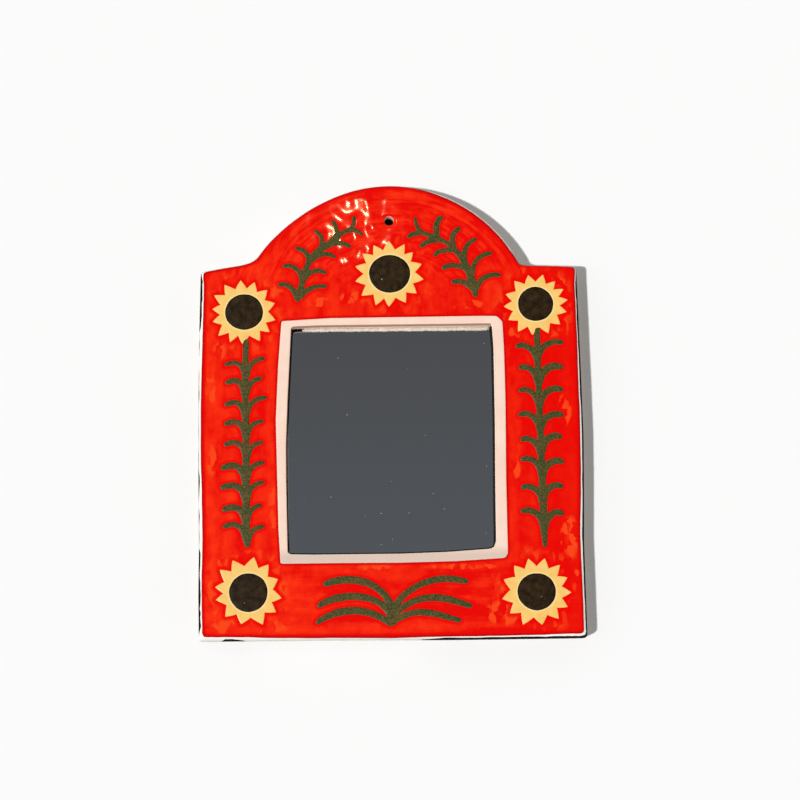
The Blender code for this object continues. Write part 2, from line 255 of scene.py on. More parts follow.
def quads(rows, columns, wrap_rows, wrap_columns):
    """Corner numbers of the four-sided faces of a grid, whose last row or column may join its first."""
    r = np.arange(rows if wrap_rows else rows - 1)[:, None]
    c = np.arange(columns if wrap_columns else columns - 1)[None, :]
    r2, c2 = (r + 1) % rows, (c + 1) % columns
    corners = [r * columns + c, r * columns + c2, r2 * columns + c2, r2 * columns + c]
    return np.stack(np.broadcast_arrays(*corners), -1).reshape(-1, 4)


def looks_out(points, *groups):
    """The same groups of faces, turned round if the volume they enclose comes out negative."""
    volume = 0.0
    for faces in groups:
        a = points[faces[:, 0]]
        for k in range(1, faces.shape[1] - 1):
            volume += np.einsum("ij,ij->", a, np.cross(points[faces[:, k]], points[faces[:, k + 1]]))
    return [faces if volume > 0 else faces[:, ::-1] for faces in groups]


def piece(name, points, groups, materials, node, slots=None, facts=None):
    """Makes a piece from millimetre arrays. It stands for a node of the solids and rides on the one body."""
    mesh = bpy.data.meshes.new(name)
    faces = [row for faces in groups for row in faces.tolist()]
    mesh.from_pydata((points * MM).tolist(), [], faces)
    for material in materials:
        mesh.materials.append(material)
    if slots is not None:
        mesh.polygons.foreach_set("material_index", slots.astype(np.int32))
    mesh.shade_smooth()
    for key, values in (facts or {}).items():
        layer = mesh.attributes.new(key, "FLOAT", "POINT")
        layer.data.foreach_set("value", np.asarray(values, np.float32).ravel())
    made = bpy.data.objects.new(name, mesh)
    bpy.context.scene.collection.objects.link(made)
    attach(made, "root")
    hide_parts(node)
    print(name, "points", len(points), "faces", len(faces))
    return made


def at_depth(flat, y):
    """Points in space from points (x, z) of the frame's plane and a depth y, one for all or one for each."""
    return np.stack([flat[..., 0], np.broadcast_to(y, flat.shape[:-1]), flat[..., 1]], -1)


def box_mm(node):
    """Low and high corner of a solid, in millimetres."""
    return [np.array(corner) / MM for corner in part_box(node)]


print("slab of the solids in mm:", [corner.round(1).tolist() for corner in box_mm("ceramic_frame")])

# %% [markdown]
# ## The face of the slab
# A slab that was rolled and dried by hand is never quite flat. A few long, shallow waves stand for that,
# and everything that is painted on the face follows the same waves.

# %% Waves of the face
WAVES = [(0.031, 0.012, 0.4), (-0.013, 0.041, 1.9), (0.052, -0.037, 3.1), (0.021, 0.067, 4.4)]
WAVE_DEEP = 0.2


def face_y(x, z):
    """Depth of the face: its plane, pushed back by a sum of slow sine waves in x and z."""
    push = sum(1 + np.sin(a * x + b * z + c) for a, b, c in WAVES)
    return FACE_Y + WAVE_DEEP * push / (2 * len(WAVES))


def soft_rise(inside, height, soft):
    """Height of a glaze field by the distance inside its edge: a parabola, flat beyond the soft width."""
    share = np.clip(inside / soft, 0, 1)
    return height * (1 - (1 - share) ** 2)


probe = np.array([-100.0, 0.0, 100.0])
print("face depth across the middle:", face_y(probe, -120.0).round(3))

# %% [markdown]
# ## Lines drawn by hand
# The outline and the window were cut with a knife, so their sides bow and no two corners are alike. Each is
# a closed line through a few key points. A bell-shaped running average softens its corners, and it is then
# cut into stretches that start at chosen keys, so that lines of different shape can be joined point to point.

# %% Closed lines
FINE, CROWDING = 0.25, 0.7


def crowded(count):
    """Shares from 0 to 1 that lie closer together near both ends: u less a part of its own sine."""
    u = np.arange(count) / count
    return u - CROWDING * np.sin(2 * np.pi * u) / (2 * np.pi)


def hand_line(keys, ends, counts, soft):
    """A closed line of straight runs between keys, averaged by a bell, cut into stretches."""
    keys = np.array(keys, float)
    ring = np.vstack([keys, keys[:1]])
    lengths = np.r_[0, np.cumsum(np.hypot(*np.diff(ring, axis=0).T))]
    total = lengths[-1]
    fine = np.arange(0, total, FINE)
    line = np.column_stack([np.interp(fine, lengths, ring[:, k]) for k in (0, 1)])
    bell = np.exp(-0.5 * (np.minimum(fine, total - fine) / soft) ** 2)
    line = np.fft.ifft(np.fft.fft(line, axis=0) * np.fft.fft(bell / bell.sum())[:, None], axis=0).real
    starts = lengths[list(ends)]
    stops = np.r_[starts[1:], starts[0] + total]
    where = np.concatenate([a + (b - a) * crowded(n) for a, b, n in zip(starts, stops, counts)])
    return np.column_stack([np.interp(where, fine, line[:, k], period=total) for k in (0, 1)])


def outward(line):
    """Unit normals of a closed line that runs anticlockwise: its direction turned a quarter to the right."""
    along = np.roll(line, -1, axis=0) - np.roll(line, 1, axis=0)
    along /= np.linalg.norm(along, axis=1, keepdims=True)
    return np.column_stack([along[:, 1], -along[:, 0]])


def shrunk(keys, inset):
    """The keys moved in so that each straight run lies the inset further in: a mitre at every key."""
    keys = np.array(keys, float)
    run = np.roll(keys, -1, axis=0) - keys
    run /= np.linalg.norm(run, axis=1, keepdims=True)
    after = np.column_stack([run[:, 1], -run[:, 0]])
    before = np.roll(after, 1, axis=0)
    return keys - inset * (after + before) / (1 + (after * before).sum(1, keepdims=True))


print("shares of a stretch of eight points:", crowded(8).round(2))

# %% [markdown]
# The arch is nearly a circle, so its keys are radii over angles. All other keys are places, in millimetres
# from the hanging hole. The outline, the window and the pocket behind it are cut into the same stretches of
# as many points: foot, right side, right shoulder, arch, left shoulder and left side. So a row of the slab
# can run from any of them to the next.

# %% Outline, window, pocket and band
# Widths of the bell that softens the corners of each line.
OUTER_SOFT, WINDOW_SOFT, POCKET_SOFT, BRUSH_SOFT = 1.5, 0.9, 0.5, 0.8
ARCH_ANGLES = np.array([28, 36, 50, 65, 80, 90, 100, 115, 128, 138, 145, 151])
ARCH_RADII = np.array([85.2, 85.3, 85.3, 85.4, 85.37, 85.37, 85.2, 84.8, 85.2, 86.2, 87.3, 88.0])
arch_turn = np.radians(np.linspace(ARCH_ANGLES[0], ARCH_ANGLES[-1], 60))
arch_reach = np.interp(np.degrees(arch_turn), ARCH_ANGLES, ARCH_RADII)
ARCH_MIDDLE = -63.87
ARCH = np.column_stack([arch_reach * np.cos(arch_turn), ARCH_MIDDLE + arch_reach * np.sin(arch_turn)])
OUTLINE = [(-110.6, -242.1), (-30, -242.3), (30, -242.95), (109.9, -242.9)]
OUTLINE += [(109.65, -216), (109.45, -188), (110.25, -159), (110.85, -128), (110.45, -95), (109.7, -50),
            (109.2, -27.6)]
OUTLINE += [(78.2, -26.5), (75.4, -25.8)]
first_arch = len(OUTLINE)
OUTLINE += ARCH.tolist()
last_arch = len(OUTLINE) - 1
OUTLINE += [(-80.2, -23.6), (-85.5, -25.2), (-109.9, -29.0)]
top_left = len(OUTLINE) - 1
OUTLINE += [(-110.6, -60), (-111.0, -100), (-111.0, -150), (-110.6, -185), (-110.9, -215)]
OUTER_ENDS = (0, 3, 10, first_arch, last_arch, top_left)
COUNTS = (126, 138, 28, 180, 28, 138)
outer = hand_line(OUTLINE, OUTER_ENDS, COUNTS, OUTER_SOFT)
MITRE = 2.0
inward = (hand_line(shrunk(OUTLINE, MITRE), OUTER_ENDS, COUNTS, OUTER_SOFT) - outer) / MITRE

WINDOW = [(-59.4, -192.9), (-45, -193.25), (4, -193.3), (31, -192.6), (55.2, -191.1), (57.3, -190.2)]
WINDOW += [(58.25, -187.9), (58.55, -152), (59.05, -118), (59.15, -75), (58.4, -62.3), (44, -62.4),
           (-43, -62.7), (-56.8, -63.2)]
WINDOW += [(-59.0, -105), (-60.0, -130), (-60.0, -152)]
WINDOW_ENDS = (0, 5, 10, 11, 12, 13)
window = hand_line(WINDOW, WINDOW_ENDS, COUNTS, WINDOW_SOFT)

POCKET = [(-66.5, -200), (66.5, -200), (66.5, -55), (49, -55), (-49, -55), (-66.5, -55)]
pocket = hand_line(POCKET, range(6), COUNTS, POCKET_SOFT)

BAND = [(-64.0, -199.0), (-30.3, -199.0), (3.8, -199.2), (35.6, -198.7), (63.6, -197.2), (65.3, -195.0)]
BAND += [(65.2, -152.7), (65.8, -106.4), (65.6, -77.2), (65.0, -60.2), (61.8, -57.0), (52.1, -56.9),
         (-34.8, -57.5), (-62.9, -59.0)]
BAND += [(-64.9, -84.8), (-66.4, -116.7), (-65.8, -145.5), (-65.1, -179.8)]
BAND_COUNTS = (130, 130, 130, 130)
band = hand_line(BAND, (0, 4, 9, 13), BAND_COUNTS, BRUSH_SOFT)
print("points round the frame:", len(outer), "x", outer[:, 0].min().round(2), outer[:, 0].max().round(2))

# %% [markdown]
# ## Brush strokes
# Leaves and stems were laid on with a loaded brush: each stroke is a smooth middle line with a width that
# swells and ends round. The distance from any point to the edge of the nearest stroke is then one formula,
# and a soft minimum lets strokes flow together where they cross, as wet glaze does.

# %% Stroke distances


def flow(keys, count):
    """A smooth line through key points: a cubic between each two, its slope that of their neighbours."""
    keys = np.array(keys, float)
    ring = np.vstack([2 * keys[0] - keys[1], keys, 2 * keys[-1] - keys[-2]])
    where = np.linspace(0, len(keys) - 1, count)
    k = np.minimum(where.astype(int), len(keys) - 2)
    t = (where - k)[:, None]
    a, b, c, d = (ring[k + n] for n in range(4))
    return b + t / 2 * (c - a + t * (2 * a - 5 * b + 4 * c - d + t * (3 * (b - c) + d - a)))


def stroke_distance(x, z, line, half):
    """Distance to a stroke's edge: to each straight bit of its middle line, less its half width there."""
    at = np.stack([x, z], -1)[..., None, :]
    start, along = line[:-1], np.diff(line, axis=0)
    share = np.clip(((at - start) * along).sum(-1) / (along**2).sum(-1), 0, 1)
    gap = np.linalg.norm(at - start - share[..., None] * along, axis=-1)
    return (gap - half[:-1] - share * np.diff(half)).min(-1)


def painted_distance(x, z, strokes, pull=0.22):
    """Distance to the edge of all strokes together, below zero inside: their soft minimum."""
    each = np.stack([-stroke_distance(x, z, *stroke) / pull for stroke in strokes])
    return -pull * np.logaddexp.reduce(each, axis=0)


line = np.array([(0.0, 0.0), (10.0, 0.0)])
print("a point 3 mm off a stroke of 1 mm half width:", stroke_distance(5.0, 3.0, line, np.ones(2)))

# %% [markdown]
# ## Sprigs
# A rail's sprig is an upright stem with short leaves on both sides. A leaf leaves the stem well below its own
# tip, climbs along it and bends over. The tips are written down; the bend is one of three habits, given as
# shares of the leaf's reach and heights over its tip.

# %% Strokes of the rail sprigs
rng = np.random.default_rng(11)
DROOPING = ([0.04, 0.12, 0.27, 0.5, 0.77, 1.0], [-7.4, -3.4, -0.7, 0.9, 0.8, 0.0])
LEVEL = ([0.04, 0.13, 0.3, 0.52, 0.78, 1.0], [-8.2, -4.8, -2.1, -0.3, 0.45, 0.0])
RISING = ([0.06, 0.15, 0.27, 0.48, 0.75, 1.0], [-10.2, -7.0, -4.1, -1.8, -0.5, 0.0])
LEAF_SWELL = [1.1, 1.1, 1.05, 1.02, 0.98, 0.8]


def leaf(stem, tip, habit, half):
    """A leaf stroke: a smooth line from the upright stem to its tip, bent by its habit."""
    x = np.interp(tip[1], stem[:, 1], stem[:, 0])
    share, rise = np.array(habit)
    keys = np.column_stack([x + share * (tip[0] - x), tip[1] + rise * rng.uniform(0.92, 1.06)])
    return flow(keys, 16), half * np.interp(np.linspace(0, 5, 16), range(6), LEAF_SWELL)


def rail_sprig(stem_keys, stem_half, full, sides):
    """All strokes of a sprig: its stem, from its foot up, then a leaf for each tip of a side."""
    stem = flow(stem_keys, 60)
    strokes = [(stem, np.interp(np.linspace(0, 1, 60), np.linspace(0, 1, len(stem_half)), stem_half))]
    for habit, tips in sides:
        strokes += [leaf(stem, (x, z), habit, full * half) for x, z, half in tips]
    return strokes


STROKES = {}
STROKES["sprig_left"] = rail_sprig(
    [(-82.8, -187.8), (-83.3, -180), (-83.5, -160), (-83.4, -128), (-83.8, -95), (-83.4, -71)],
    [1.5, 2.0, 2.2, 2.2, 2.2, 2.1, 2.0, 1.9, 1.85, 1.85],
    1.03,
    [
        (
            DROOPING,
            [(-94.6, -84.1, 1.4), (-94.0, -94.6, 1.75), (-94.6, -107.3, 1.6), (-94.6, -118.5, 1.7),
             (-95.0, -130.4, 1.6), (-96.3, -143.8, 1.95), (-96.6, -155.1, 1.9), (-95.8, -167.6, 1.9),
             (-95.7, -177.4, 1.55)],
        ),
        (
            RISING,
            [(-73.7, -80.9, 1.45), (-74.9, -92.4, 1.5), (-72.6, -103.6, 1.5), (-74.3, -117.2, 1.35),
             (-74.7, -129.6, 1.4), (-73.9, -141.2, 1.45), (-74.1, -152.6, 1.45), (-75.5, -165.7, 1.4),
             (-74.3, -177.8, 1.5)],
        ),
    ],
)
STROKES["sprig_right"] = rail_sprig(
    [(86.4, -190.2), (86.2, -180), (85.9, -160), (85.5, -128), (85.0, -92), (84.9, -65.5)],
    [1.3, 1.9, 2.3, 2.3, 2.2, 2.1, 2.0, 1.95, 1.9, 1.9],
    1.15,
    [
        (
            LEVEL,
            [(73.6, -74.9, 1.55), (75.0, -87.6, 1.6), (74.5, -100.8, 1.45), (74.2, -114.8, 1.55),
             (75.0, -129.3, 1.6), (74.8, -140.8, 1.55), (74.8, -156.9, 1.6), (74.3, -170.5, 1.6)],
        ),
        (
            LEVEL,
            [(98.9, -73.0, 1.55), (98.0, -87.2, 1.95), (97.7, -100.4, 1.75), (97.5, -115.2, 1.75),
             (96.5, -127.9, 1.85), (97.1, -142.3, 1.8), (96.5, -156.3, 1.7), (96.3, -171.9, 1.75)],
        ),
    ],
)
print({name: len(strokes) for name, strokes in STROKES.items()})

# %% [markdown]
# The two sprigs in the arch and the spray below the window bend too freely for one habit, so each of their
# strokes has its own middle line, as rows of x, z and half width in millimetres.

# %% Strokes of the arch sprigs and the spray
FREE = {}
FULLER = {"sprig_arch_left": 1.06, "sprig_arch_right": 1.14}
FREE["sprig_arch_left"] = [
    [(-53.5, -46.1, 1.72), (-51.7, -40.8, 1.84), (-50.6, -34.9, 1.78), (-49.4, -30.2, 1.72),
     (-47.3, -25.4, 1.67), (-45.0, -21.3, 1.67), (-41.4, -17.5, 1.72), (-38.5, -15.4, 1.67),
     (-35.6, -13.6, 1.61), (-32.7, -11.3, 1.67), (-30.6, -8.6, 1.49)],
    [(-30.3, -9.5, 1.49), (-30.7, -4.7, 1.32), (-31.8, -1.7, 1.26), (-32.8, -0.1, 1.03)],
    [(-30.3, -10.1, 1.49), (-28.0, -7.6, 1.44), (-25.1, -6.1, 1.38), (-21.6, -5.4, 1.32),
     (-18.7, -6.1, 1.21), (-16.1, -7.7, 0.98)],
    [(-24.2, -6.3, 1.26), (-21.8, -4.2, 1.21), (-20.6, -1.2, 1.21), (-20.4, 2.2, 1.03)],
    [(-53.8, -44.9, 1.61), (-55.6, -41.3, 1.67), (-57.8, -39.0, 1.55), (-60.7, -37.5, 1.38),
     (-63.9, -37.6, 1.09)],
    [(-50.3, -35.5, 1.49), (-52.0, -31.0, 1.49), (-53.7, -28.7, 1.44), (-56.3, -26.9, 1.38),
     (-58.9, -26.3, 1.26), (-61.2, -26.6, 1.03)],
    [(-47.0, -24.9, 1.44), (-47.3, -21.3, 1.44), (-48.7, -18.6, 1.44), (-51.0, -16.8, 1.38),
     (-53.9, -16.1, 1.03)],
    [(-40.0, -17.5, 1.44), (-39.2, -13.0, 1.38), (-39.5, -9.4, 1.38), (-41.1, -7.2, 1.26),
     (-42.9, -6.1, 0.98)],
    [(-51.8, -44.7, 1.61), (-48.6, -41.5, 1.61), (-45.1, -39.6, 1.44), (-41.3, -38.7, 1.26),
     (-37.3, -38.7, 1.03)],
    [(-49.4, -33.7, 1.61), (-46.2, -30.5, 1.55), (-42.4, -29.4, 1.38), (-39.5, -29.8, 1.26),
     (-37.5, -30.7, 0.98)],
    [(-45.0, -22.8, 1.49), (-40.9, -20.3, 1.44), (-37.1, -19.6, 1.38), (-34.2, -20.0, 1.26),
     (-32.2, -21.3, 0.98)],
    [(-37.4, -15.7, 1.55), (-33.9, -13.8, 1.49), (-29.8, -13.2, 1.49), (-26.0, -13.6, 1.38),
     (-23.1, -15.1, 1.03)],
]
FREE["sprig_arch_right"] = [
    [(49.7, -44.3, 1.49), (49.1, -41.1, 1.9), (47.8, -36.3, 2.24), (46.6, -31.7, 2.13), (44.6, -27.6, 2.01),
     (42.7, -23.5, 1.78), (40.5, -20.2, 1.61), (37.4, -17.2, 1.44), (34.7, -14.3, 1.26),
     (31.3, -12.3, 1.32), (27.8, -10.8, 1.67), (24.4, -9.2, 1.44), (20.9, -7.9, 1.26), (17.5, -7.3, 1.44),
     (13.7, -8.2, 1.32), (11.2, -9.7, 0.92)],
    [(18.9, -6.9, 1.26), (16.8, -4.4, 1.15), (15.7, -1.2, 0.98), (15.3, 1.3, 0.75)],
    [(27.8, -10.3, 1.55), (27.5, -5.2, 1.67), (27.9, -1.9, 1.67), (29.2, 0.6, 1.44), (30.7, 1.7, 1.09)],
    [(37.4, -16.0, 1.49), (36.8, -11.5, 1.61), (37.4, -8.5, 1.55), (39.1, -6.2, 1.38), (40.8, -5.0, 1.09)],
    [(43.6, -23.2, 1.49), (44.0, -18.0, 1.38), (45.3, -15.2, 1.32), (47.5, -12.9, 1.21),
     (50.4, -11.3, 0.92)],
    [(48.1, -31.6, 1.38), (49.5, -25.9, 1.32), (52.2, -22.6, 1.32), (55.6, -20.5, 1.32),
     (58.9, -19.8, 1.15)],
    [(50.1, -40.8, 1.44), (52.8, -36.2, 1.49), (55.8, -34.0, 1.44), (59.6, -32.7, 1.32),
     (63.6, -32.8, 1.09)],
    [(28.2, -11.9, 1.38), (24.4, -12.0, 1.44), (21.0, -13.4, 1.38), (18.9, -15.0, 1.09)],
    [(36.2, -17.7, 1.32), (32.7, -17.9, 1.38), (28.9, -18.7, 1.26), (26.6, -20.6, 0.98)],
    [(45.1, -29.2, 1.55), (41.0, -27.5, 1.49), (36.4, -26.8, 1.44), (33.3, -27.4, 1.38),
     (31.6, -28.3, 1.21)],
    [(48.9, -41.1, 1.84), (44.7, -37.8, 1.67), (40.9, -36.5, 1.49), (37.0, -36.6, 1.26)],
]
FREE["spray_bottom"] = [
    [(-1.1, -225.1, 2.1), (-3.1, -220.4, 2.1), (-6.0, -216.4, 2.0), (-10.3, -212.9, 2.0),
     (-15.3, -210.2, 2.15), (-21.9, -208.7, 2.2), (-28.6, -208.5, 2.25), (-34.6, -209.4, 2.15),
     (-38.6, -210.6, 1.6)],
    [(-1.6, -228.5, 2.1), (-5.5, -223.9, 2.1), (-8.8, -221.4, 2.0), (-13.7, -219.3, 2.0),
     (-20.4, -218.0, 2.15), (-27.0, -218.0, 2.25), (-33.7, -219.1, 2.2), (-38.6, -220.8, 1.95),
     (-42.1, -222.6, 1.5)],
    [(-1.6, -233.0, 2.0), (-3.9, -232.0, 2.0), (-8.9, -229.3, 2.0), (-13.8, -227.3, 2.1),
     (-20.5, -226.0, 2.2), (-27.1, -226.1, 2.25), (-33.8, -227.5, 2.1), (-39.6, -230.0, 1.8),
     (-42.9, -232.0, 1.4)],
    [(0.6, -224.0, 2.1), (3.9, -219.3, 2.0), (7.5, -216.2, 1.9), (12.9, -212.7, 1.9), (18.3, -210.5, 2.0),
     (24.4, -208.9, 2.05), (30.1, -208.6, 2.1), (36.2, -209.2, 1.95), (41.0, -210.1, 1.5)],
    [(-0.8, -228.5, 2.1), (2.1, -226.2, 2.0), (6.8, -223.3, 1.9), (11.0, -221.2, 1.9), (16.4, -219.6, 2.0),
     (23.5, -219.1, 2.1), (30.7, -220.1, 2.1), (37.4, -222.1, 1.9), (43.0, -223.9, 1.5)],
    [(-1.9, -233.0, 2.0), (2.0, -230.8, 1.9), (6.3, -228.9, 1.9), (11.0, -227.5, 1.9), (16.3, -227.3, 2.0),
     (23.4, -228.3, 2.0), (30.0, -230.1, 1.8), (36.8, -232.0, 1.4)],
    [(-1.9, -232.6, 1.9), (-1.2, -227.0, 3.2), (-0.6, -223.5, 2.0)],
]
for name, lines in FREE.items():
    drawn = [flow(keys, 6 * len(keys)) for keys in lines]
    STROKES[name] = [(line[:, :2], FULLER.get(name, 1.0) * line[:, 2]) for line in drawn]
    print(name, "strokes", len(drawn))

# %% [markdown]
# ## Sunflowers
# Each sunflower is a ring of pointed petals round a dark disc. The tips are written as a turn and a reach.
# Between two tips the edge falls to a valley and rises again in two nearly straight, slightly full sides.

# %% Outlines of the sunflowers
FLOWERS = {
    "top_centre": (
        (0.0, -31.6),
        (11.95, 11.2),
        [17, 43, 63, 91, 118, 142, 167, 192, 218, 246, 268, 298, 323, 350],
        [19.6, 18.8, 19.8, 19.8, 19.5, 19.9, 20.5, 20.5, 21.0, 20.4, 19.6, 19.6, 19.5, 20.1],
    ),
    "top_left": (
        (-84.4, -53.5),
        (10.95, 10.45),
        [16, 44, 71, 96, 125, 150, 174, 197, 223, 245, 267, 298, 321, 345],
        [18.5, 18.7, 18.7, 18.9, 19.8, 20.1, 18.5, 19.0, 20.4, 19.5, 18.8, 19.4, 18.9, 18.7],
    ),
    "top_right": (
        (84.5, -50.2),
        (10.25, 10.1),
        [7, 28, 49, 75, 103, 131, 161, 184, 210, 237, 263, 292, 319, 345],
        [19.0, 18.7, 17.8, 18.1, 17.6, 18.4, 18.3, 18.7, 18.6, 19.5, 18.5, 18.8, 18.6, 18.6],
    ),
    "bottom_left": (
        (-82.2, -215.0),
        (10.9, 10.9),
        [24, 54, 81, 116, 141, 170, 192, 226, 257, 294, 324, 350],
        [18.3, 19.5, 20.4, 20.5, 20.9, 19.2, 18.9, 18.8, 18.2, 19.9, 19.2, 19.1],
    ),
    "bottom_right": (
        (81.1, -216.5),
        (10.9, 10.5),
        [24, 48, 75, 103, 130, 159, 191, 218, 246, 278, 308, 333, 358],
        [19.4, 20.3, 19.6, 19.4, 19.6, 20.0, 20.2, 19.7, 20.4, 19.0, 19.7, 19.6, 19.8],
    ),
}
VALLEY, SWELL = 0.745, 0.7
SIDE_POINTS = 8


def petal_edge(centre, turns, reaches):
    """The toothed edge of a flower: straight sides from tip to valley to tip, each swollen by a parabola."""
    turns, reaches = np.radians(turns), np.array(reaches)
    next_turn = np.r_[turns[1:], turns[0] + 2 * np.pi]
    deep = VALLEY * (reaches + np.roll(reaches, -1)) / 2
    corner_turn = np.column_stack([turns, (turns + next_turn) / 2]).ravel()
    corner_reach = np.column_stack([reaches, deep]).ravel()
    corner = corner_reach[:, None] * np.column_stack([np.cos(corner_turn), np.sin(corner_turn)])
    side = np.roll(corner, -1, axis=0) - corner
    full = np.column_stack([side[:, 1], -side[:, 0]]) / np.linalg.norm(side, axis=1, keepdims=True)
    t = (np.arange(SIDE_POINTS) / SIDE_POINTS)[None, :, None]
    edge = corner[:, None] + side[:, None] * t + full[:, None] * SWELL * t * (1 - t)
    return np.array(centre) + edge.reshape(-1, 2)


EDGES = {}
for where, (centre, _, turns, reaches) in FLOWERS.items():
    EDGES[where] = petal_edge(centre, turns, reaches)
    print(where, "edge points", len(EDGES[where]), "width", np.ptp(EDGES[where][:, 0]).round(1))

# %% [markdown]
# ## What the red lies beside
# Red glaze pools against whatever stands proud, and is thin where the brush was nearly dry. So every point of
# the face is told how far it is from the petals, the leaves and the cream band, and how thin the coat is. The
# thin places are ovals written down as rows of x, z and two half widths.

# %% Distances over the face
THIN = np.array([
    (62, -228, 11, 8), (76.5, -235, 5, 5), (106, -209, 4, 6), (64, -214.5, 4, 4), (-96.5, -230.5, 9, 8),
    (-62.5, -214.5, 4, 7), (-65, -234, 6, 4), (-97, -197, 4, 4), (-20, -45.5, 10, 4), (-103, -215, 4, 8),
    (98, -38, 5, 4), (-66, -41, 5, 5), (101.0, -186, 6, 13), (-68.5, -166, 3.5, 16), (-12, -201, 12, 2.5),
    (40, -201.8, 24, 1.8), (71.5, -145, 2.5, 8), (-104.5, -100, 4, 13), (-103, -140, 3, 10),
    (100, -112, 4, 10), (-40, -48, 9, 3), (44, -50, 12, 3), (72, -66, 4, 4), (-99, -76, 5, 6),
    (100, -64, 4, 6),
])


def edge_distance(x, z, edge):
    """Distance to a closed line: to a stroke of no width that comes back to its start."""
    ring = np.vstack([edge, edge[:1]])
    return stroke_distance(x, z, ring, np.zeros(len(ring)))


def beside_petals(x, z):
    """Distance from points of the face to the nearest petal's edge, in millimetres."""
    return np.min([edge_distance(x, z, edge) for edge in EDGES.values()], axis=0)


def beside_band(x, z):
    """Distance to the cream band's outer edge, below zero within it.

    A point lies within where a level line from it meets the edge an odd number of times.
    """
    start = band[::4]
    run = np.roll(start, -1, axis=0) - start
    level = (z[:, None] - start[:, 1]) / (run[:, 1] + 1e-9)
    meets = (level >= 0) & (level < 1) & (start[:, 0] + level * run[:, 0] > x[:, None])
    return np.where(meets.sum(1) % 2, -1, 1) * edge_distance(x, z, start)


def beside_paint(x, z):
    """Distance from points of the face to the nearest leaf or to the cream band, in millimetres."""
    leaves = [painted_distance(x, z, strokes) for strokes in STROKES.values()]
    return np.min([beside_band(x, z)] + leaves, axis=0)


def thin_coat(x, z):
    """How thin the red is: one less the squared distance from a thin place's middle, 0 beyond its edge."""
    away = ((x[:, None] - THIN[:, 0]) / THIN[:, 2]) ** 2 + ((z[:, None] - THIN[:, 1]) / THIN[:, 3]) ** 2
    return np.clip(1 - away.min(1), 0, 1)


print("thin places", len(THIN), "corner of the face to the band", beside_band(*outer[:1].T).round(1))

# %% [markdown]
# ## Glazes
# Red selenium glaze was brushed on in several thin coats, so it is streaky: deep red where it is thick,
# orange where the white body shines through. The brush went up and down the rails, along the foot, and round
# the arch. The glaze pools against the raised leaves and petals and is purest there. Fired glaze is glass, so
# every one of these is smooth and bright, with a slight orange peel.

# %% Red glaze
# Glass over streaky colour: a hard, wet shine with small broken glints.
red_glaze, tree, spot = finish("brushed red glaze", Roughness=0.05, IOR=1.5, Specular_IOR_Level=0.2)
told = ("beside", "petals", "rim", "thin", "band")
known = {key: add(tree, "Attribute", attribute_name=key).outputs["Fac"] for key in told}
from_middle = add(tree, "VectorMath", {0: spot, 1: (0, 0, ARCH_MIDDLE * MM)}, operation="SUBTRACT")
part = add(tree, "SeparateXYZ", {0: from_middle}).outputs
streaks = []
for spread in ((9.0, 20.0, 45.0), (45.0, 20.0, 7.0)):
    drawn = add(tree, "Mapping", {"Vector": spot, "Scale": [1 / v / MM for v in spread]})
    streaks.append(add(tree, "TexNoise", {"Vector": drawn, "Scale": 1.0, "Detail": 3, "Roughness": 0.55}))
turn = add(tree, "Math", {0: part["Z"], 1: part["X"]}, operation="ARCTAN2")
reach = add(tree, "VectorMath", {0: from_middle}, operation="LENGTH")
bent = add(tree, "CombineXYZ", {"X": reach, "Y": turn})
bent = add(tree, "Mapping", {"Vector": bent, "Scale": (1 / 2.6 / MM, 80 / 26, 1)})
bent = add(tree, "TexNoise", {"Vector": bent, "Scale": 1.0, "Detail": 3, "Roughness": 0.6})
bent = add(tree, "MapRange", {0: bent, 1: 0.32, 2: 0.68, 3: 0.25, 4: 0.75})
high = add(tree, "MapRange", {0: part["Z"], 1: 22 * MM, 2: 40 * MM})
low = add(tree, "MapRange", {0: part["Z"], 1: -132 * MM, 2: -142 * MM})
coat = add(tree, "Mix", {0: high, 2: streaks[0], 3: bent})
coat = add(tree, "Mix", {0: low, 2: coat, 3: streaks[1]})
mottle = add(tree, "TexNoise", {"Vector": spot, "Scale": 1 / 6.0 / MM, "Detail": 3, "Roughness": 0.6})
tone = add(tree, "Math", {0: mottle, 1: 0.55, 2: coat}, operation="MULTIPLY_ADD")
# The coat is scant on the left and heavy on the right.
scant = add(tree, "MapRange", {0: part["X"], 1: -20 * MM, 2: -60 * MM, 4: 0.07})
tone = add(tree, "Math", {0: tone, 1: scant})
tone = add(tree, "MapRange", {0: tone, 1: 0.66, 2: 1.02})
heavy = add(tree, "MapRange", {0: part["X"], 1: 55 * MM, 2: 95 * MM, 4: 0.75})
# Dabs of the brush: slanted cells with wavering borders, some of them pale.
waver = add(tree, "TexNoise", {"Vector": spot, "Scale": 1 / 3.0 / MM, "Detail": 2}).outputs["Color"]
strayed = add(tree, "VectorMath", {0: waver, 1: (2.2 * MM,) * 3, 2: spot}, operation="MULTIPLY_ADD")
slanted = {"Rotation": (0, 0.4, 0), "Scale": [1 / v / MM for v in (3.2, 4.0, 5.5)]}
strayed = add(tree, "Mapping", {"Vector": strayed, **slanted})
cells = add(tree, "TexVoronoi", {"Vector": strayed, "Scale": 1.0, "Smoothness": 0.12}, feature="SMOOTH_F1")
chance = add(tree, "SeparateColor", {0: cells.outputs["Color"]})
chance = add(tree, "Math", {0: known["thin"], 1: 0.35, 2: chance}, operation="MULTIPLY_ADD")
dabbed = add(tree, "MapRange", {0: chance, 1: 0.62, 2: 0.95})
close = add(tree, "MapRange", {0: known["petals"], 1: 8.0, 2: 4.0, 4: 0.7})
where_thin = add(tree, "MapRange", {0: known["thin"], 1: 0.0, 2: 0.35})
where_thin = add(tree, "Math", {0: close, 1: where_thin}, operation="MAXIMUM")
dabs = add(tree, "Math", {0: dabbed, 1: where_thin}, operation="MULTIPLY")
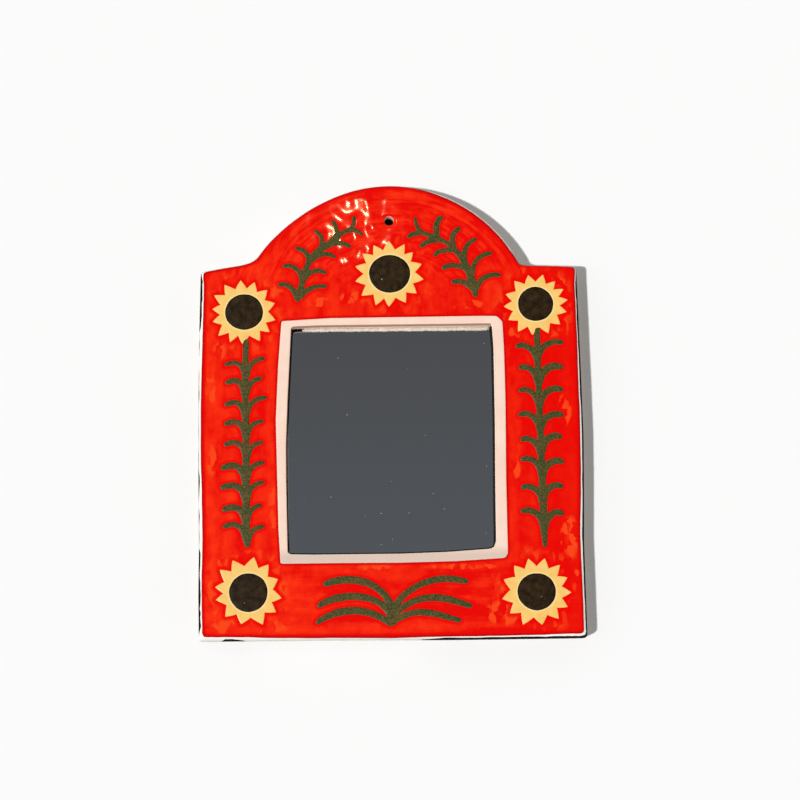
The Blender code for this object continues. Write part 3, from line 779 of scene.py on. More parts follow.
# The glaze pools against everything that stands proud. The dark line at the red's own edge is mostly painted
# shade of the rim's rounding.
deep = 0.0
for key, start, full in (("beside", 2.3, 0.6), ("petals", 3.3, 1.0), ("rim", 3.5, 1.7)):
    near = add(tree, "MapRange", {0: known[key], 1: start, 2: full}, interpolation_type="SMOOTHSTEP")
    deep = add(tree, "Math", {0: deep, 1: near}, operation="MAXIMUM")
deep = add(tree, "Math", {0: deep, 1: 0.88}, operation="MULTIPLY")
# Painted shade, mostly: a darker red line where the rim rounds off, along the red's end.
line = add(tree, "MapRange", {0: known["rim"], 1: 1.9, 2: 0.4, 4: 0.82})
seam = add(tree, "MapRange", {0: known["band"], 1: 1.2, 2: 0.35, 4: 0.65})
ridges = add(tree, "Mapping", {"Vector": spot, "Scale": [1 / v / MM for v in (8.0, 8.0, 9.5)]})
swell = add(tree, "TexNoise", {"Vector": ridges, "Scale": 1.0, "Detail": 0})
tints = [(tone, "FF3111"), (heavy, "EB0500"), (dabs, "FC4718")]
tints += [(deep, "EE0200"), (line, "A00A08"), (seam, "B00807")]
dress(tree, "EA0803", tints, swell, 0.19)
print(red_glaze.name, "nodes", len(tree.nodes))

# %% [markdown]
# The sides were left white: a clear glaze over a white slip. Below it the edge was run over with a dark oxide
# wash, which broke up as it dried. The same dark finish is painted shade on the window's wall beside the pane
# and deep in the hanging hole. The foot and the back are bare biscuit, dry and finely grained.

# %% White, cream and bare clay
# White slip under glass: a clean, shiny edge, faintly cloudy.
white_slip, tree, spot = finish("white slip under clear glaze", Roughness=0.22, IOR=1.5)
cloud = add(tree, "TexNoise", {"Vector": spot, "Scale": 1 / 9.0 / MM, "Detail": 3})
tone = add(tree, "MapRange", {0: cloud, 1: 0.35, 2: 0.7})
dress(tree, "FEFCF8", [(tone, "F6F1E9")], cloud, 0.08)

# Oxide dries to a matt, sooty black. Where it has crumbled off, the shiny slip shows.
# The same finish is also painted shade: on the window's wall beside the pane and deep in the hanging hole.
dark_wash_and_shade, tree, spot = finish("dark oxide wash", Specular_IOR_Level=0.05)
grit = add(tree, "TexNoise", {"Vector": spot, "Scale": 1 / 1.5 / MM, "Detail": 4, "Roughness": 0.7})
tone = add(tree, "MapRange", {0: grit, 1: 0.4, 2: 0.72})
bare = add(tree, "Attribute", attribute_name="bare").outputs["Fac"]
crumb = add(tree, "TexNoise", {"Vector": spot, "Scale": 1 / 2.5 / MM, "Detail": 3, "Roughness": 0.6})
ragged = add(tree, "Math", {0: crumb, 1: 1.6, 2: bare}, operation="MULTIPLY_ADD")
gone = add(tree, "MapRange", {0: ragged, 1: 0.77, 2: 0.83})
rough = add(tree, "MapRange", {0: gone, 3: 0.95, 4: 0.25})
dress(tree, "0D0C0B", [(tone, "38312A"), (gone, "FBF8F2")], grit, 0.2, Roughness=rough)

# Unglazed clay is dull and dry to the eye. Its grain is drawn coarser than it is, or it would not show.
biscuit, tree, spot = finish("bare biscuit clay", Roughness=0.88)
cloud = add(tree, "TexNoise", {"Vector": spot, "Scale": 1 / 30.0 / MM, "Detail": 5, "Roughness": 0.6})
grain = add(tree, "TexNoise", {"Vector": spot, "Scale": 1 / 0.9 / MM, "Detail": 3, "Roughness": 0.7})
tone = add(tree, "MapRange", {0: cloud, 1: 0.3, 2: 0.7})
fleck = add(tree, "MapRange", {0: grain, 1: 0.63, 2: 0.72})
dress(tree, "E6D8C2", [(tone, "D3BFA3"), (fleck, "B08F6C")], grain, 0.12)

# Cream glaze looks soft and milky. Darker along the foot is painted shade, and so is the brown at the edge of
# the lip.
cream_glaze, tree, spot = finish("cream glaze", Roughness=0.2, IOR=1.5)
cloud = add(tree, "TexNoise", {"Vector": spot, "Scale": 1 / 12.0 / MM, "Detail": 4, "Roughness": 0.6})
tone = add(tree, "MapRange", {0: cloud, 1: 0.35, 2: 0.7})
height = add(tree, "SeparateXYZ", {0: spot}).outputs["Z"]
# Painted shade: darker along the foot.
low = add(tree, "MapRange", {0: height, 1: -190 * MM, 2: -195 * MM, 4: 0.8})
lip = add(tree, "Attribute", attribute_name="to_lip").outputs["Fac"]
# Painted shade: brown at the lip's edge, where it rounds into the window.
worn = add(tree, "MapRange", {0: lip, 1: 0.5, 2: 0.15, 4: 0.85})
ripple = add(tree, "TexNoise", {"Vector": spot, "Scale": 1 / 4.0 / MM, "Detail": 2})
dress(tree, "FFE2CF", [(tone, "FBD9C5"), (low, "DAC4B6"), (worn, "985C40")], ripple, 0.08)
print(white_slip.name, dark_wash_and_shade.name, biscuit.name, cream_glaze.name, sep=", ")

# %% [markdown]
# ## The slab
# The slab's section is one closed loop: along the seat behind the pane, up the window's wall, over its lip,
# across the face, over the rim, down the side that flares towards the wall, and back along the rear. That
# loop is carried round the frame, so the whole slab is one grid that closes both ways. Where the hanging hole
# is, a patch of the grid is left out on both faces, and a short ring of rows joins the two patches.

# %% Section of the slab
SEAT_Y, REAR_Y = -9.5, -2.3
# Rim, side and heel of the section, as rows of inset from the outline and depth.
RIM = np.array([(1.9, -16.3), (1.65, -16.26), (1.4, -16.12), (1.1, -15.86), (0.8, -15.5), (0.55, -15.05),
                (0.35, -14.5)])
SIDE = np.array([(0.22, -13.7), (0.12, -12.6), (0.05, -11.3), (0.01, -10.0), (0.0, -8.0), (0.0, -5.0)])
HEEL = np.array([(0.1, -3.6), (0.5, -2.8), (1.1, -2.4), (1.9, -2.3)])
PROFILE = np.vstack([RIM, SIDE, HEEL])
profile_length = np.r_[0, np.cumsum(np.hypot(*np.diff(PROFILE, axis=0).T))]
around = len(outer)
starts = np.r_[0, np.cumsum(COUNTS)]
station = np.arange(around)


def along_frame(*values):
    """Values round the frame, straight between marks of (stretch, share of its length, value)."""
    marks = []
    for stretch, share, value in values:
        steps = np.interp(share, np.r_[crowded(COUNTS[stretch]), 1], range(COUNTS[stretch] + 1))
        marks.append((starts[stretch] + steps, value))
    where, what = np.array(sorted(marks)).T
    return np.interp(station, where, what, period=around)


print("stations round the frame:", around, "length down the side in mm:", profile_length[-1].round(2))

# %% [markdown]
# Where the red ends and where the dark wash starts differs all round. Both are written down as insets from
# the outline at some shares of its stretches, numbered from the foot. They change evenly in between, and a
# few sine waves let them stray as a brush does.

# %% Edges of the red and the wash
RED_STRAY = 0.06
WASH_LEAST, WASH_GAP = 0.03, 0.05
# Points of the profile down to where the side stands upright.
FLANK = len(RIM) + 4
# The brush's wobble round the frame: times round, height and start of each wave.
WOBBLES = [(37, 0.5, 0.3), (61, 0.4, 2.0), (97, 0.35, 4.1), (139, 0.3, 1.2)]
wobble = sum(a * np.sin(2 * np.pi * f * station / around + p) for f, a, p in WOBBLES)
# Width of the rim's rounding, as a share of the profile's.
rim_share = along_frame((0, 0.02, 1.35), (0, 0.13, 1.25), (0, 0.2, 0.95), (0, 0.5, 0.9), (0, 0.55, 1.0),
                        (0, 0.7, 1.1), (0, 0.86, 1.2), (0, 0.95, 1.45), (1, 0.1, 1.4), (1, 0.28, 1.5),
                        (1, 0.4, 1.35), (1, 0.95, 1.35), (2, 0.3, 0.65), (3, 0.04, 0.85), (3, 0.32, 0.85),
                        (3, 0.45, 0.6), (4, 0.7, 0.65), (5, 0.005, 1.15), (5, 0.03, 1.4), (5, 0.9, 1.4))
# How far in from the outline the red ends, and the dark wash starts, in millimetres.
red_inset = along_frame(
    (0, 0.02, 2.35), (0, 0.12, 2.1), (0, 0.18, 1.5), (0, 0.28, 1.25), (0, 0.5, 0.95), (0, 0.545, 1.4),
    (0, 0.65, 1.75), (0, 0.8, 1.85), (0, 0.86, 2.0), (0, 0.96, 2.5), (1, 0.04, 2.3), (1, 0.12, 2.25),
    (1, 0.22, 2.55), (1, 0.3, 2.65), (1, 0.38, 2.35), (1, 0.44, 2.2), (1, 0.53, 2.4), (1, 0.6, 2.2),
    (1, 0.71, 2.2), (1, 0.8, 1.9), (1, 0.92, 1.95), (1, 0.96, 1.9), (1, 0.99, 1.2), (2, 0.3, 0.1),
    (2, 0.8, 0.3), (3, 0.04, 1.3), (3, 0.32, 1.3), (3, 0.44, 0.1), (3, 0.9, 0.12), (4, 0.5, 0.4),
    (5, 0.005, 1.7), (5, 0.03, 2.4), (5, 0.1, 2.5), (5, 0.25, 2.1), (5, 0.35, 1.7), (5, 0.52, 1.7),
    (5, 0.6, 2.3), (5, 0.75, 2.4), (5, 0.85, 2.2), (5, 0.97, 2.4),
) + RED_STRAY * wobble
wash_inset = along_frame(
    (0, 0.03, 0.1), (0, 0.06, 0.2), (0, 0.065, 1.1), (0, 0.1, 1.0), (0, 0.12, 0.15), (0, 0.55, 0.05),
    (0, 0.595, 0.45), (0, 0.63, 1.1), (0, 0.75, 1.15), (0, 0.97, 1.25), (1, 0.03, 1.3), (1, 0.1, 1.4),
    (1, 0.28, 1.55), (1, 0.5, 1.45), (1, 0.85, 1.5), (1, 0.95, 1.5), (1, 0.99, 0.6), (2, 0.3, 0.05),
    (3, 0.5, 0.03), (4, 0.7, 0.05), (5, 0.0, 0.2), (5, 0.02, 1.7), (5, 0.12, 1.7), (5, 0.15, 1.2),
    (5, 0.165, 0.4), (5, 0.4, 0.5), (5, 0.54, 0.5), (5, 0.58, 0.85), (5, 0.66, 0.8), (5, 0.7, 0.5),
    (5, 0.755, 0.4), (5, 0.77, 1.4), (5, 0.81, 1.2), (5, 0.845, 1.5), (5, 0.97, 1.6), (5, 0.985, 0.2),
)
# How much of the wobble shows in the wash, which is broken in places.
broken = along_frame((0, 0.1, 0.2), (0, 0.2, 0.45), (0, 0.6, 0.3), (0, 0.7, 0.12), (1, 0.05, 0.08),
                     (1, 0.9, 0.1), (2, 0.2, 0.1), (5, 0.02, 0.08), (5, 0.14, 0.1), (5, 0.2, 0.75),
                     (5, 0.76, 0.5), (5, 0.79, 0.15), (5, 0.9, 0.2))
wash_inset = np.clip(wash_inset * (1 + broken * wobble), WASH_LEAST, red_inset - WASH_GAP)


def arc_at(inset):
    """Length along the profile at which the side has come out to an inset from the outline."""
    flank = np.arange(FLANK)[::-1]
    return np.interp(inset / rim_share, PROFILE[flank, 0], profile_length[flank])


red_end, wash_start = arc_at(red_inset), arc_at(wash_inset)
# The wash's lower edge wobbles out of step with its upper one, at least 1 mm below it.
wash_end = np.maximum(profile_length[FLANK] + 0.5 * np.roll(wobble, 40), wash_start + 1.0)
print("red ends", red_inset.min().round(2), "to", red_inset.max().round(2), "mm in from the outline")

# %% [markdown]
# The rows of the grid follow the section. On the rim and the side they lie at lengths along its profile.
# Elsewhere they are straight lines between two of the closed lines, on the face or at one depth. Each row is
# noted down with the zone of the slab that it starts.

# %% Rows of the slab
LIP, LEFT_LIP, SEAT_WIDE = 1.0, 0.6, 8.0
RIM_FADE = 3.0


def rim_rows(arcs):
    """Points on the rim and side by length along their profile: the outline, moved in by its inset."""
    inset = np.interp(arcs, profile_length, PROFILE[:, 0]) * rim_share
    depth = np.interp(arcs, profile_length, PROFILE[:, 1])
    flat = outer + inward * inset[:, None]
    fade = np.clip(1 - arcs / RIM_FADE, 0, 1)
    return at_depth(flat, depth + fade * (face_y(*flat.T) - FACE_Y))


def flat_rows(a, b, shares, depth=None):
    """Rows of points on straight lines from a to b in the plane of the frame, at a depth or on the face."""
    flats = [a + (b - a) * share for share in shares]
    return [at_depth(flat, face_y(*flat.T) if depth is None else depth) for flat in flats]


ACROSS, OVER_SEAT, REAR_ACROSS, WASH_ROWS = 72, 7, 30, 5
SEAT_SHARES = (0.0, 0.5)
WALL_SHARES = (0.0, 0.3, 0.55, 0.8)
LIP_TURNS = np.radians([0, 50, 74, 84])
POCKET_SHARES = (0.0, 0.33, 0.67)
in_normal = outward(window)
lip_wide = along_frame((0, 0.02, LIP), (4, 0.9, LIP), (5, 0.02, LEFT_LIP), (5, 0.98, LEFT_LIP))
lip_start = face_y(*window.T) + lip_wide
lip_edge = window + in_normal * lip_wide[:, None]
over_pocket = window + in_normal * SEAT_WIDE
rim_edge = outer + inward * RIM[0, 0] * rim_share[:, None]
rear_edge = outer + inward * HEEL[-1, 0] * rim_share[:, None]

rows = flat_rows(pocket, window, SEAT_SHARES, SEAT_Y)
zone = ["rear"] * len(rows)
rows += [at_depth(window, SEAT_Y + share * (lip_start - SEAT_Y)) for share in WALL_SHARES]
lip_first = len(rows)
for turn in LIP_TURNS:
    flat = window + in_normal * lip_wide[:, None] * (1 - np.cos(turn))
    rows.append(at_depth(flat, lip_start - lip_wide * np.sin(turn)))
zone += ["cream"] * (len(rows) - len(zone))
rows += flat_rows(lip_edge, over_pocket, np.arange(OVER_SEAT) / OVER_SEAT)
face_first = len(rows)
rows += flat_rows(over_pocket, rim_edge, np.arange(ACROSS) / ACROSS)
zone += ["face"] * (OVER_SEAT + ACROSS)
for kind, start, stop, count in (
    ("face", 0.0, red_end, 5), ("side", red_end, wash_start, 6),
    ("wash", wash_start, wash_end, WASH_ROWS), ("rear", wash_end, profile_length[-1], 6),
):
    rows += [rim_rows(start + share * (stop - start)) for share in np.arange(count) / count]
    zone += [kind] * count
rear_first = len(rows)
rows += flat_rows(rear_edge, pocket, np.arange(REAR_ACROSS) / REAR_ACROSS, REAR_Y)
rows += [at_depth(pocket, REAR_Y + share * (SEAT_Y - REAR_Y)) for share in POCKET_SHARES]
zone += ["rear"] * (len(rows) - rear_first)
slab = np.stack(rows)
print("slab grid", slab.shape)

# %% [markdown]
# The hole is punched, not drilled: its lips are a little soft. The four sides of the left-out patch, walked
# round in order, become the first row of the ring; each of its points knows its own angle about the hole, and
# the rows between are circles seen from there.

# %% Hanging hole
HOLE_RADIUS = 3.0
WIDE, TALL = 5, 6
arch = slice(starts[3], starts[4])
mid = starts[3] + int(np.abs(slab[face_first + ACROSS // 2, arch, 0]).argmin())
front_mid = face_first + int(np.abs(slab[face_first : face_first + ACROSS, mid, 2]).argmin())
rear_mid = rear_first + int(np.abs(slab[rear_first : rear_first + REAR_ACROSS, mid, 2]).argmin())


def patch_loop(middle_row, flip):
    """Grid numbers of the points on the edge of the patch, walked round, from its lower left corner."""
    r = np.arange(-TALL, TALL + 1) * flip + middle_row
    c = np.arange(-WIDE, WIDE + 1) + mid
    walk = [(r[0], k) for k in c[:-1]] + [(k, c[-1]) for k in r[:-1]]
    walk += [(r[-1], k) for k in c[:0:-1]] + [(k, c[0]) for k in r[:0:-1]]
    walk = np.array(walk)
    return walk[:, 0] * around + walk[:, 1]


front_loop, rear_loop = patch_loop(front_mid, 1), patch_loop(rear_mid, -1)
points = slab.reshape(-1, 3)
front_turn, rear_turn = (np.arctan2(points[loop, 2], points[loop, 0]) for loop in (front_loop, rear_loop))
front_y = face_y(0.0, 0.0)
# Rows of the ring: share of the way from the front's angles to the rear's, radius, and depth or the face.
HOLE_ROWS = [
    (0.0, 5.0, None), (0.0, 3.5, None), (0.0, 3.05, front_y + 0.1), (0.05, 2.82, front_y + 0.35),
    (0.1, 2.75, front_y + 0.8), (0.3, 2.8, -9.5), (0.6, 2.9, -7.5), (0.85, HOLE_RADIUS, -4.0),
    (1.0, HOLE_RADIUS + 0.1, -2.7), (1.0, HOLE_RADIUS + 0.6, REAR_Y), (1.0, 5.0, REAR_Y),
]
ring_rows = []
for share, radius, depth in HOLE_ROWS:
    turn = front_turn + share * ((rear_turn - front_turn + np.pi) % (2 * np.pi) - np.pi)
    flat = radius * np.column_stack([np.cos(turn), np.sin(turn)])
    ring_rows.append(at_depth(flat, face_y(*flat.T) if depth is None else depth))
ring_points = np.vstack(ring_rows)
ring_numbers = np.arange(len(ring_points)).reshape(len(HOLE_ROWS), -1) + len(points)
ring_numbers = np.vstack([front_loop, ring_numbers, rear_loop])
ring_next = np.roll(ring_numbers, -1, axis=1)
ring_faces = [ring_numbers[:-1], ring_next[:-1], ring_next[1:], ring_numbers[1:]]
ring_faces = np.stack(ring_faces, -1).reshape(-1, 4)
print("ring of the hole:", ring_numbers.shape)

# %% [markdown]
# Each row of the slab has its own finish. The window's wall and the seat next to it get the dark wash as
# painted shade of the gap beside the pane, along the sides, the foot and the short stretch of the top without
# glue.

# %% Finishes of the slab
NO_GLUE_X = -49.5
# Rows, counted from the seat, that get painted shade on the right, at the left and the foot, and along the
# top.
RIGHT_SHADE_ROWS, LEFT_SHADE_ROWS, TOP_SHADE_ROWS = 7, 8, 4
# Deep in the hanging hole the dark wash is painted shade.
RING_ZONES = ["face"] * 4 + ["cream"] * 2 + ["wash"] * 5 + ["rear"]
row_of, column_of = np.divmod(np.arange(slab.shape[0] * around), around)
by_hole = (np.abs(row_of - front_mid + 0.5) < TALL) | (np.abs(row_of - rear_mid + 0.5) < TALL)
in_patch = (np.abs(column_of - mid + 0.5) < WIDE) & by_hole
grid_faces = quads(slab.shape[0], around, True, True)[~in_patch]
zone_slot = {"face": 0, "side": 1, "wash": 2, "rear": 3, "cream": 4}
row_slot = np.array([zone_slot[kind] for kind in zone])
at_foot, on_left = column_of < starts[1], column_of >= starts[5]
on_right = (column_of >= starts[1]) & (column_of < starts[2])
no_glue = (slab[2, column_of, 0] < NO_GLUE_X) & ~at_foot
shade_rows = np.select([on_right, on_left | at_foot, no_glue], [RIGHT_SHADE_ROWS, LEFT_SHADE_ROWS, TOP_SHADE_ROWS], 0)
painted_shade = (row_of >= 1) & (row_of < shade_rows)
# Painted shade: the shaded rows of the window's wall take the dark wash.
grid_slot = np.where(painted_shade, zone_slot["wash"], row_slot[row_of])[~in_patch]
ring_slot = np.repeat([zone_slot[kind] for kind in RING_ZONES], len(front_loop))
print("faces of each finish:", np.bincount(np.r_[grid_slot, ring_slot]))

# %% [markdown]
# The finishes also want to know things about each point: how far it is from the paint, from the end of the
# red and from the lip, how thin the red lies, and where the wash has crumbled off. A point of the slab that a
# finish asks nothing about keeps a plain value. Then all parts of the slab become one mesh.

# %% The finished slab
FAR = 9.0
SHADED_LIP, CRUMBLED = 0.12, 0.25
slab_points = np.vstack([points, ring_points])
facts = {"beside": FAR, "petals": FAR, "rim": FAR, "thin": 0.0, "band": FAR, "to_lip": FAR, "bare": -5.0}
facts = {key: np.full(len(slab_points), value) for key, value in facts.items()}
on_face = np.flatnonzero(slab_points[:, 1] < FACE_Y + 1.0)
# The distances are worked out in lots, to spare memory.
for some in np.array_split(on_face, 32):
    x, z = slab_points[some, 0], slab_points[some, 2]
    facts["beside"][some] = np.clip(beside_paint(x, z), 0, FAR)
    facts["petals"][some] = np.clip(beside_petals(x, z), 0, FAR)
    facts["band"][some] = np.clip(beside_band(x, z), -2, FAR)
    facts["thin"][some] = thin_coat(x, z)
# Along the top, the lip's rounding gets the cream glaze's brown painted shade.
upper_lip = (row_of >= lip_first) & (row_of < lip_first + 3) & ~(at_foot | on_right | on_left)
facts["to_lip"][: len(points)][upper_lip] = SHADED_LIP
wash_first = zone.index("wash")
bare_rows = facts["bare"][: len(points)].reshape(slab.shape[:2])
bare_rows[wash_first : wash_first + WASH_ROWS + 1] = 4 * (CRUMBLED - wash_inset)
red_line = rim_rows(red_end)[:, [0, 2]]
facts["rim"][: len(points)] = np.linalg.norm(slab[:, :, [0, 2]] - red_line, axis=2).ravel()
piece(
    "glazed_slab", slab_points, looks_out(slab_points, grid_faces, ring_faces),
    [red_glaze, white_slip, dark_wash_and_shade, biscuit, cream_glaze], "ceramic_frame",
    np.r_[grid_slot, ring_slot], facts,
)

# %% [markdown]
# ## Green strokes
# A painted field is a height over the face that rises from its edge like a drop. It is meshed on a fine grid:
# points within reach of the edge are moved onto it along the slope of the distance, and cells that lie inside
# are kept, as four-sided faces or, along a slanting edge, as triangles. A copy of the field closes it below.

# %% Leaf green
# Copper green, brushed thin: satin, speckled with brown, and bluer where a tip held a drop. The speckle is
# drawn a little coarser than it is, or it would not show.
green_glaze, tree, spot = finish("leaf green glaze", Roughness=0.36, IOR=1.4, Specular_IOR_Level=0.3)
edge, end = (add(tree, "Attribute", attribute_name=key).outputs["Fac"] for key in ("inside", "to_tip"))
speckle = add(tree, "TexNoise", {"Vector": spot, "Scale": 1 / 0.85 / MM, "Detail": 3, "Roughness": 0.7})
cloud = add(tree, "TexNoise", {"Vector": spot, "Scale": 1 / 9.0 / MM, "Detail": 3, "Roughness": 0.6})
brown = add(tree, "MapRange", {0: cloud, 1: 0.45, 2: 0.66})
deep = add(tree, "MapRange", {0: end, 1: 4.2, 2: 0.8}, interpolation_type="SMOOTHSTEP")
pale = add(tree, "MapRange", {0: speckle, 1: 0.46, 2: 0.7, 4: 0.9})
dark = add(tree, "MapRange", {0: speckle, 1: 0.48, 2: 0.32, 4: 0.7})
worn = add(tree, "MapRange", {0: edge, 1: 0.3, 2: 0.1, 4: 0.5})
tints = [(brown, "59451D"), (deep, "1F4A26"), (pale, "6E6839"), (dark, "28260C"), (worn, "5A4A26")]
dress(tree, "3F431A", tints, speckle, 0.05)
print(green_glaze.name, "nodes", len(tree.nodes))

# %% Painted fields
CELL = 0.42
SNAP, LEAST_STEEP, MARGIN = 0.6 * CELL, 0.3, 4
SINK, BURIED = 0.01, 0.25
LEAF_RISE = (0.16, 1.3)
TIP_HALF, TIP_SHARE = 1.7, 0.79


def painted_field(strokes):
    """Points, faces and facts of a raised field of strokes, closed below."""
    reach = np.vstack([line for line, _ in strokes])
    low, high = reach.min(0) - MARGIN, reach.max(0) + MARGIN
    x, z = np.meshgrid(np.arange(low[0], high[0], CELL), np.arange(low[1], high[1], CELL), indexing="ij")
    away = painted_distance(x, z, strokes)
    slope_x, slope_z = np.gradient(away, CELL)
    steep = np.maximum(slope_x**2 + slope_z**2, LEAST_STEEP)
    at_edge = np.abs(away) < SNAP
    x = np.where(at_edge, x - away * slope_x / steep, x)
    z = np.where(at_edge, z - away * slope_z / steep, z)
    kept = away < SNAP
    inside = np.where(at_edge, 0, -away)
    number = np.arange(x.size).reshape(x.shape)
    corner = [number[:-1, :-1], number[1:, :-1], number[1:, 1:], number[:-1, 1:]]
    corner = np.stack(corner, -1).reshape(-1, 4)
    held = kept.ravel()[corner]
    four = corner[held.all(1)]
    some = held.sum(1) == 3
    lost = np.argmin(held[some], axis=1)
    three = np.take_along_axis(corner[some], (lost[:, None] + np.arange(1, 4)) % 4, axis=1)
    used = np.unique(np.concatenate([four.ravel(), three.ravel()]))
    renumber = np.full(x.size, -1)
    renumber[used] = np.arange(len(used))
    four, three = renumber[four], renumber[three]
    rims = [faces[:, [k - 1, k]] for faces in (four, three) for k in range(faces.shape[1])]
    rims, times = np.unique(np.sort(np.vstack(rims), axis=1), axis=0, return_counts=True)
    open_rim = np.unique(rims[times == 1])
    flat, inside = np.column_stack([x.ravel()[used], z.ravel()[used]]), inside.ravel()[used]
    inside[open_rim] = 0
    thinned = [half[-1] < min(TIP_HALF, TIP_SHARE * half.max()) for _, half in strokes]
    tips = np.array([line[-1] for (line, _), thin in zip(strokes, thinned) if thin])
    to_tip = np.linalg.norm(flat[:, None] - tips, axis=2).min(1)
    base = face_y(*flat.T)
    inner = np.setdiff1d(np.arange(len(used)), open_rim)
    below = np.arange(len(used))
    below[inner] = len(used) + np.arange(len(inner))
    top = at_depth(flat, base + SINK - soft_rise(inside, *LEAF_RISE))
    points = np.vstack([top, at_depth(flat, base + BURIED)[inner]])
    groups = looks_out(points, *(np.vstack([faces, below[faces][:, ::-1]]) for faces in (four, three)))
    return points, groups, {"inside": np.r_[inside, inside[inner]], "to_tip": np.r_[to_tip, to_tip[inner]]}


for name, strokes in STROKES.items():
    points, groups, facts = painted_field(strokes)
    piece(name + "_glaze", points, groups, [green_glaze], name, facts=facts)

# %% [markdown]
# ## Petals and discs
# The petal ring is a grid from the disc's edge out to the toothed edge, closed below. The dark centre was
# dabbed on with a sponge: blackish, mottled brown where it is thin, with a few pale pinholes.

# %% Yellow and dark brown glaze
# Yellow is a full, glossy coat, paler beside the disc and orange at its thin edge.
yellow_glaze, tree, spot = finish("yellow glaze", Roughness=0.24, IOR=1.5)
edge, rim = (add(tree, "Attribute", attribute_name=key).outputs["Fac"] for key in ("inside", "from_disc"))
cloud = add(tree, "TexNoise", {"Vector": spot, "Scale": 1 / 5.0 / MM, "Detail": 4, "Roughness": 0.6})
tone = add(tree, "MapRange", {0: cloud, 1: 0.35, 2: 0.7})
pale = add(tree, "MapRange", {0: rim, 1: 1.1, 2: 0.3})
worn = add(tree, "MapRange", {0: edge, 1: 0.22, 2: 0.05})
dress(tree, "FFD27A", [(tone, "F9C566"), (pale, "FFE29A"), (worn, "D9893A")], cloud, 0.05)

# Manganese brown, sponged: dark and mottled, with a blacker ring and a few pale pinholes.
brown_glaze, tree, spot = finish("sponged dark brown glaze", Roughness=0.3, IOR=1.4, Specular_IOR_Level=0.3)
edge = add(tree, "Attribute", attribute_name="inside").outputs["Fac"]
cloud = add(tree, "TexNoise", {"Vector": spot, "Scale": 1 / 4.0 / MM, "Detail": 5, "Roughness": 0.7})
tone = add(tree, "MapRange", {0: cloud, 1: 0.38, 2: 0.74})
ringed = add(tree, "MapRange", {0: edge, 1: 0.8, 2: 0.3})
cells = add(tree, "TexVoronoi", {"Vector": spot, "Scale": 1 / 4.0 / MM}).outputs
hit = add(tree, "MapRange", {0: cells["Distance"], 1: 0.1, 2: 0.05})
rare = add(tree, "SeparateColor", {0: cells["Color"]})
rare = add(tree, "Math", {0: rare, 1: 0.8}, operation="GREATER_THAN")
hole = add(tree, "Math", {0: hit, 1: rare}, operation="MULTIPLY")
dress(tree, "1A1004", [(tone, "422F17"), (ringed, "150D06"), (hole, "B9AE97")], cloud, 0.09)
print(yellow_glaze.name, brown_glaze.name, sep=", ")

# %% Petal rings and discs
RADIAL = np.array([0, 0.05, 0.12, 0.25, 0.42, 0.58, 0.7, 0.8, 0.88, 0.94, 0.98, 1.0])
DISC_RINGS = np.array([0.12, 0.3, 0.5, 0.7, 0.85, 0.92, 0.96, 0.985, 0.997, 1.0])
REAR_RINGS = (0.97, 0.5, 0.12)
PETAL_RISE, DISC_RISE = (0.14, 1.2), (0.1, 2.4)
UNDER_DISC, DISC_PROUD = 0.93, 0.15
ROUND_POINTS, STRAY = 96, 0.006


def petal_ring(centre, radii, edge):
    """A ring from an oval under the disc to the toothed edge, as straight spokes. It rises from that edge."""
    spoke = edge - np.array(centre)
    turn = np.arctan2(spoke[:, 1] / radii[1], spoke[:, 0] / radii[0])
    oval = np.column_stack([radii[0] * np.cos(turn), radii[1] * np.sin(turn)])
    first = np.array(centre) + UNDER_DISC * oval
    flat = first + (edge - first) * RADIAL[:, None, None]
    inside = edge_distance(flat[..., 0], flat[..., 1], edge)
    inside[-1] = 0
    from_disc = np.linalg.norm(flat - centre, axis=2) - np.linalg.norm(oval, axis=1)
    base = face_y(flat[..., 0], flat[..., 1])
    top = at_depth(flat, base + SINK - soft_rise(inside, *PETAL_RISE))
    grid = np.concatenate([top, at_depth(flat, base + BURIED)[-2::-1]])
    points = grid.reshape(-1, 3)
    facts = {"inside": inside, "from_disc": from_disc}
    facts = {key: np.concatenate([values, values[-2::-1]]) for key, values in facts.items()}
    return points, looks_out(points, quads(len(grid), len(edge), True, True)), facts


def round_solid(centre, radii, section, count):
    """A disc-like solid: rings by share of its radius and depth, from the front's middle to the rear's.

    The section is a list of (share, depth) rows. Its rim strays by a few slow waves. Both middles are fans.
    """
    turn = np.linspace(0, 2 * np.pi, count, endpoint=False)
    waves = np.sin(3 * turn + centre[0]) + 0.7 * np.sin(5 * turn + centre[1]) + 0.5 * np.sin(11 * turn)
    circle = np.column_stack([radii[0] * np.cos(turn), radii[1] * np.sin(turn)])
    circle *= 1 + STRAY * waves[:, None]
    share, depth = np.array(section).T
    rings = at_depth(np.array(centre) + share[:, None, None] * circle, depth[:, None])
    ends = at_depth(np.array([centre, centre]), depth[[0, -1]])
    points = np.vstack([rings.reshape(-1, 3), ends])
    first, last = np.arange(count), np.arange(count) + (len(section) - 1) * count
    front, rear = len(points) - 2, len(points) - 1
    fans = [np.column_stack([np.full(count, front), np.roll(first, -1), first])]
    fans.append(np.column_stack([np.full(count, rear), last, np.roll(last, -1)]))
    return points, looks_out(points, quads(len(section), count, False, True), np.vstack(fans)), share


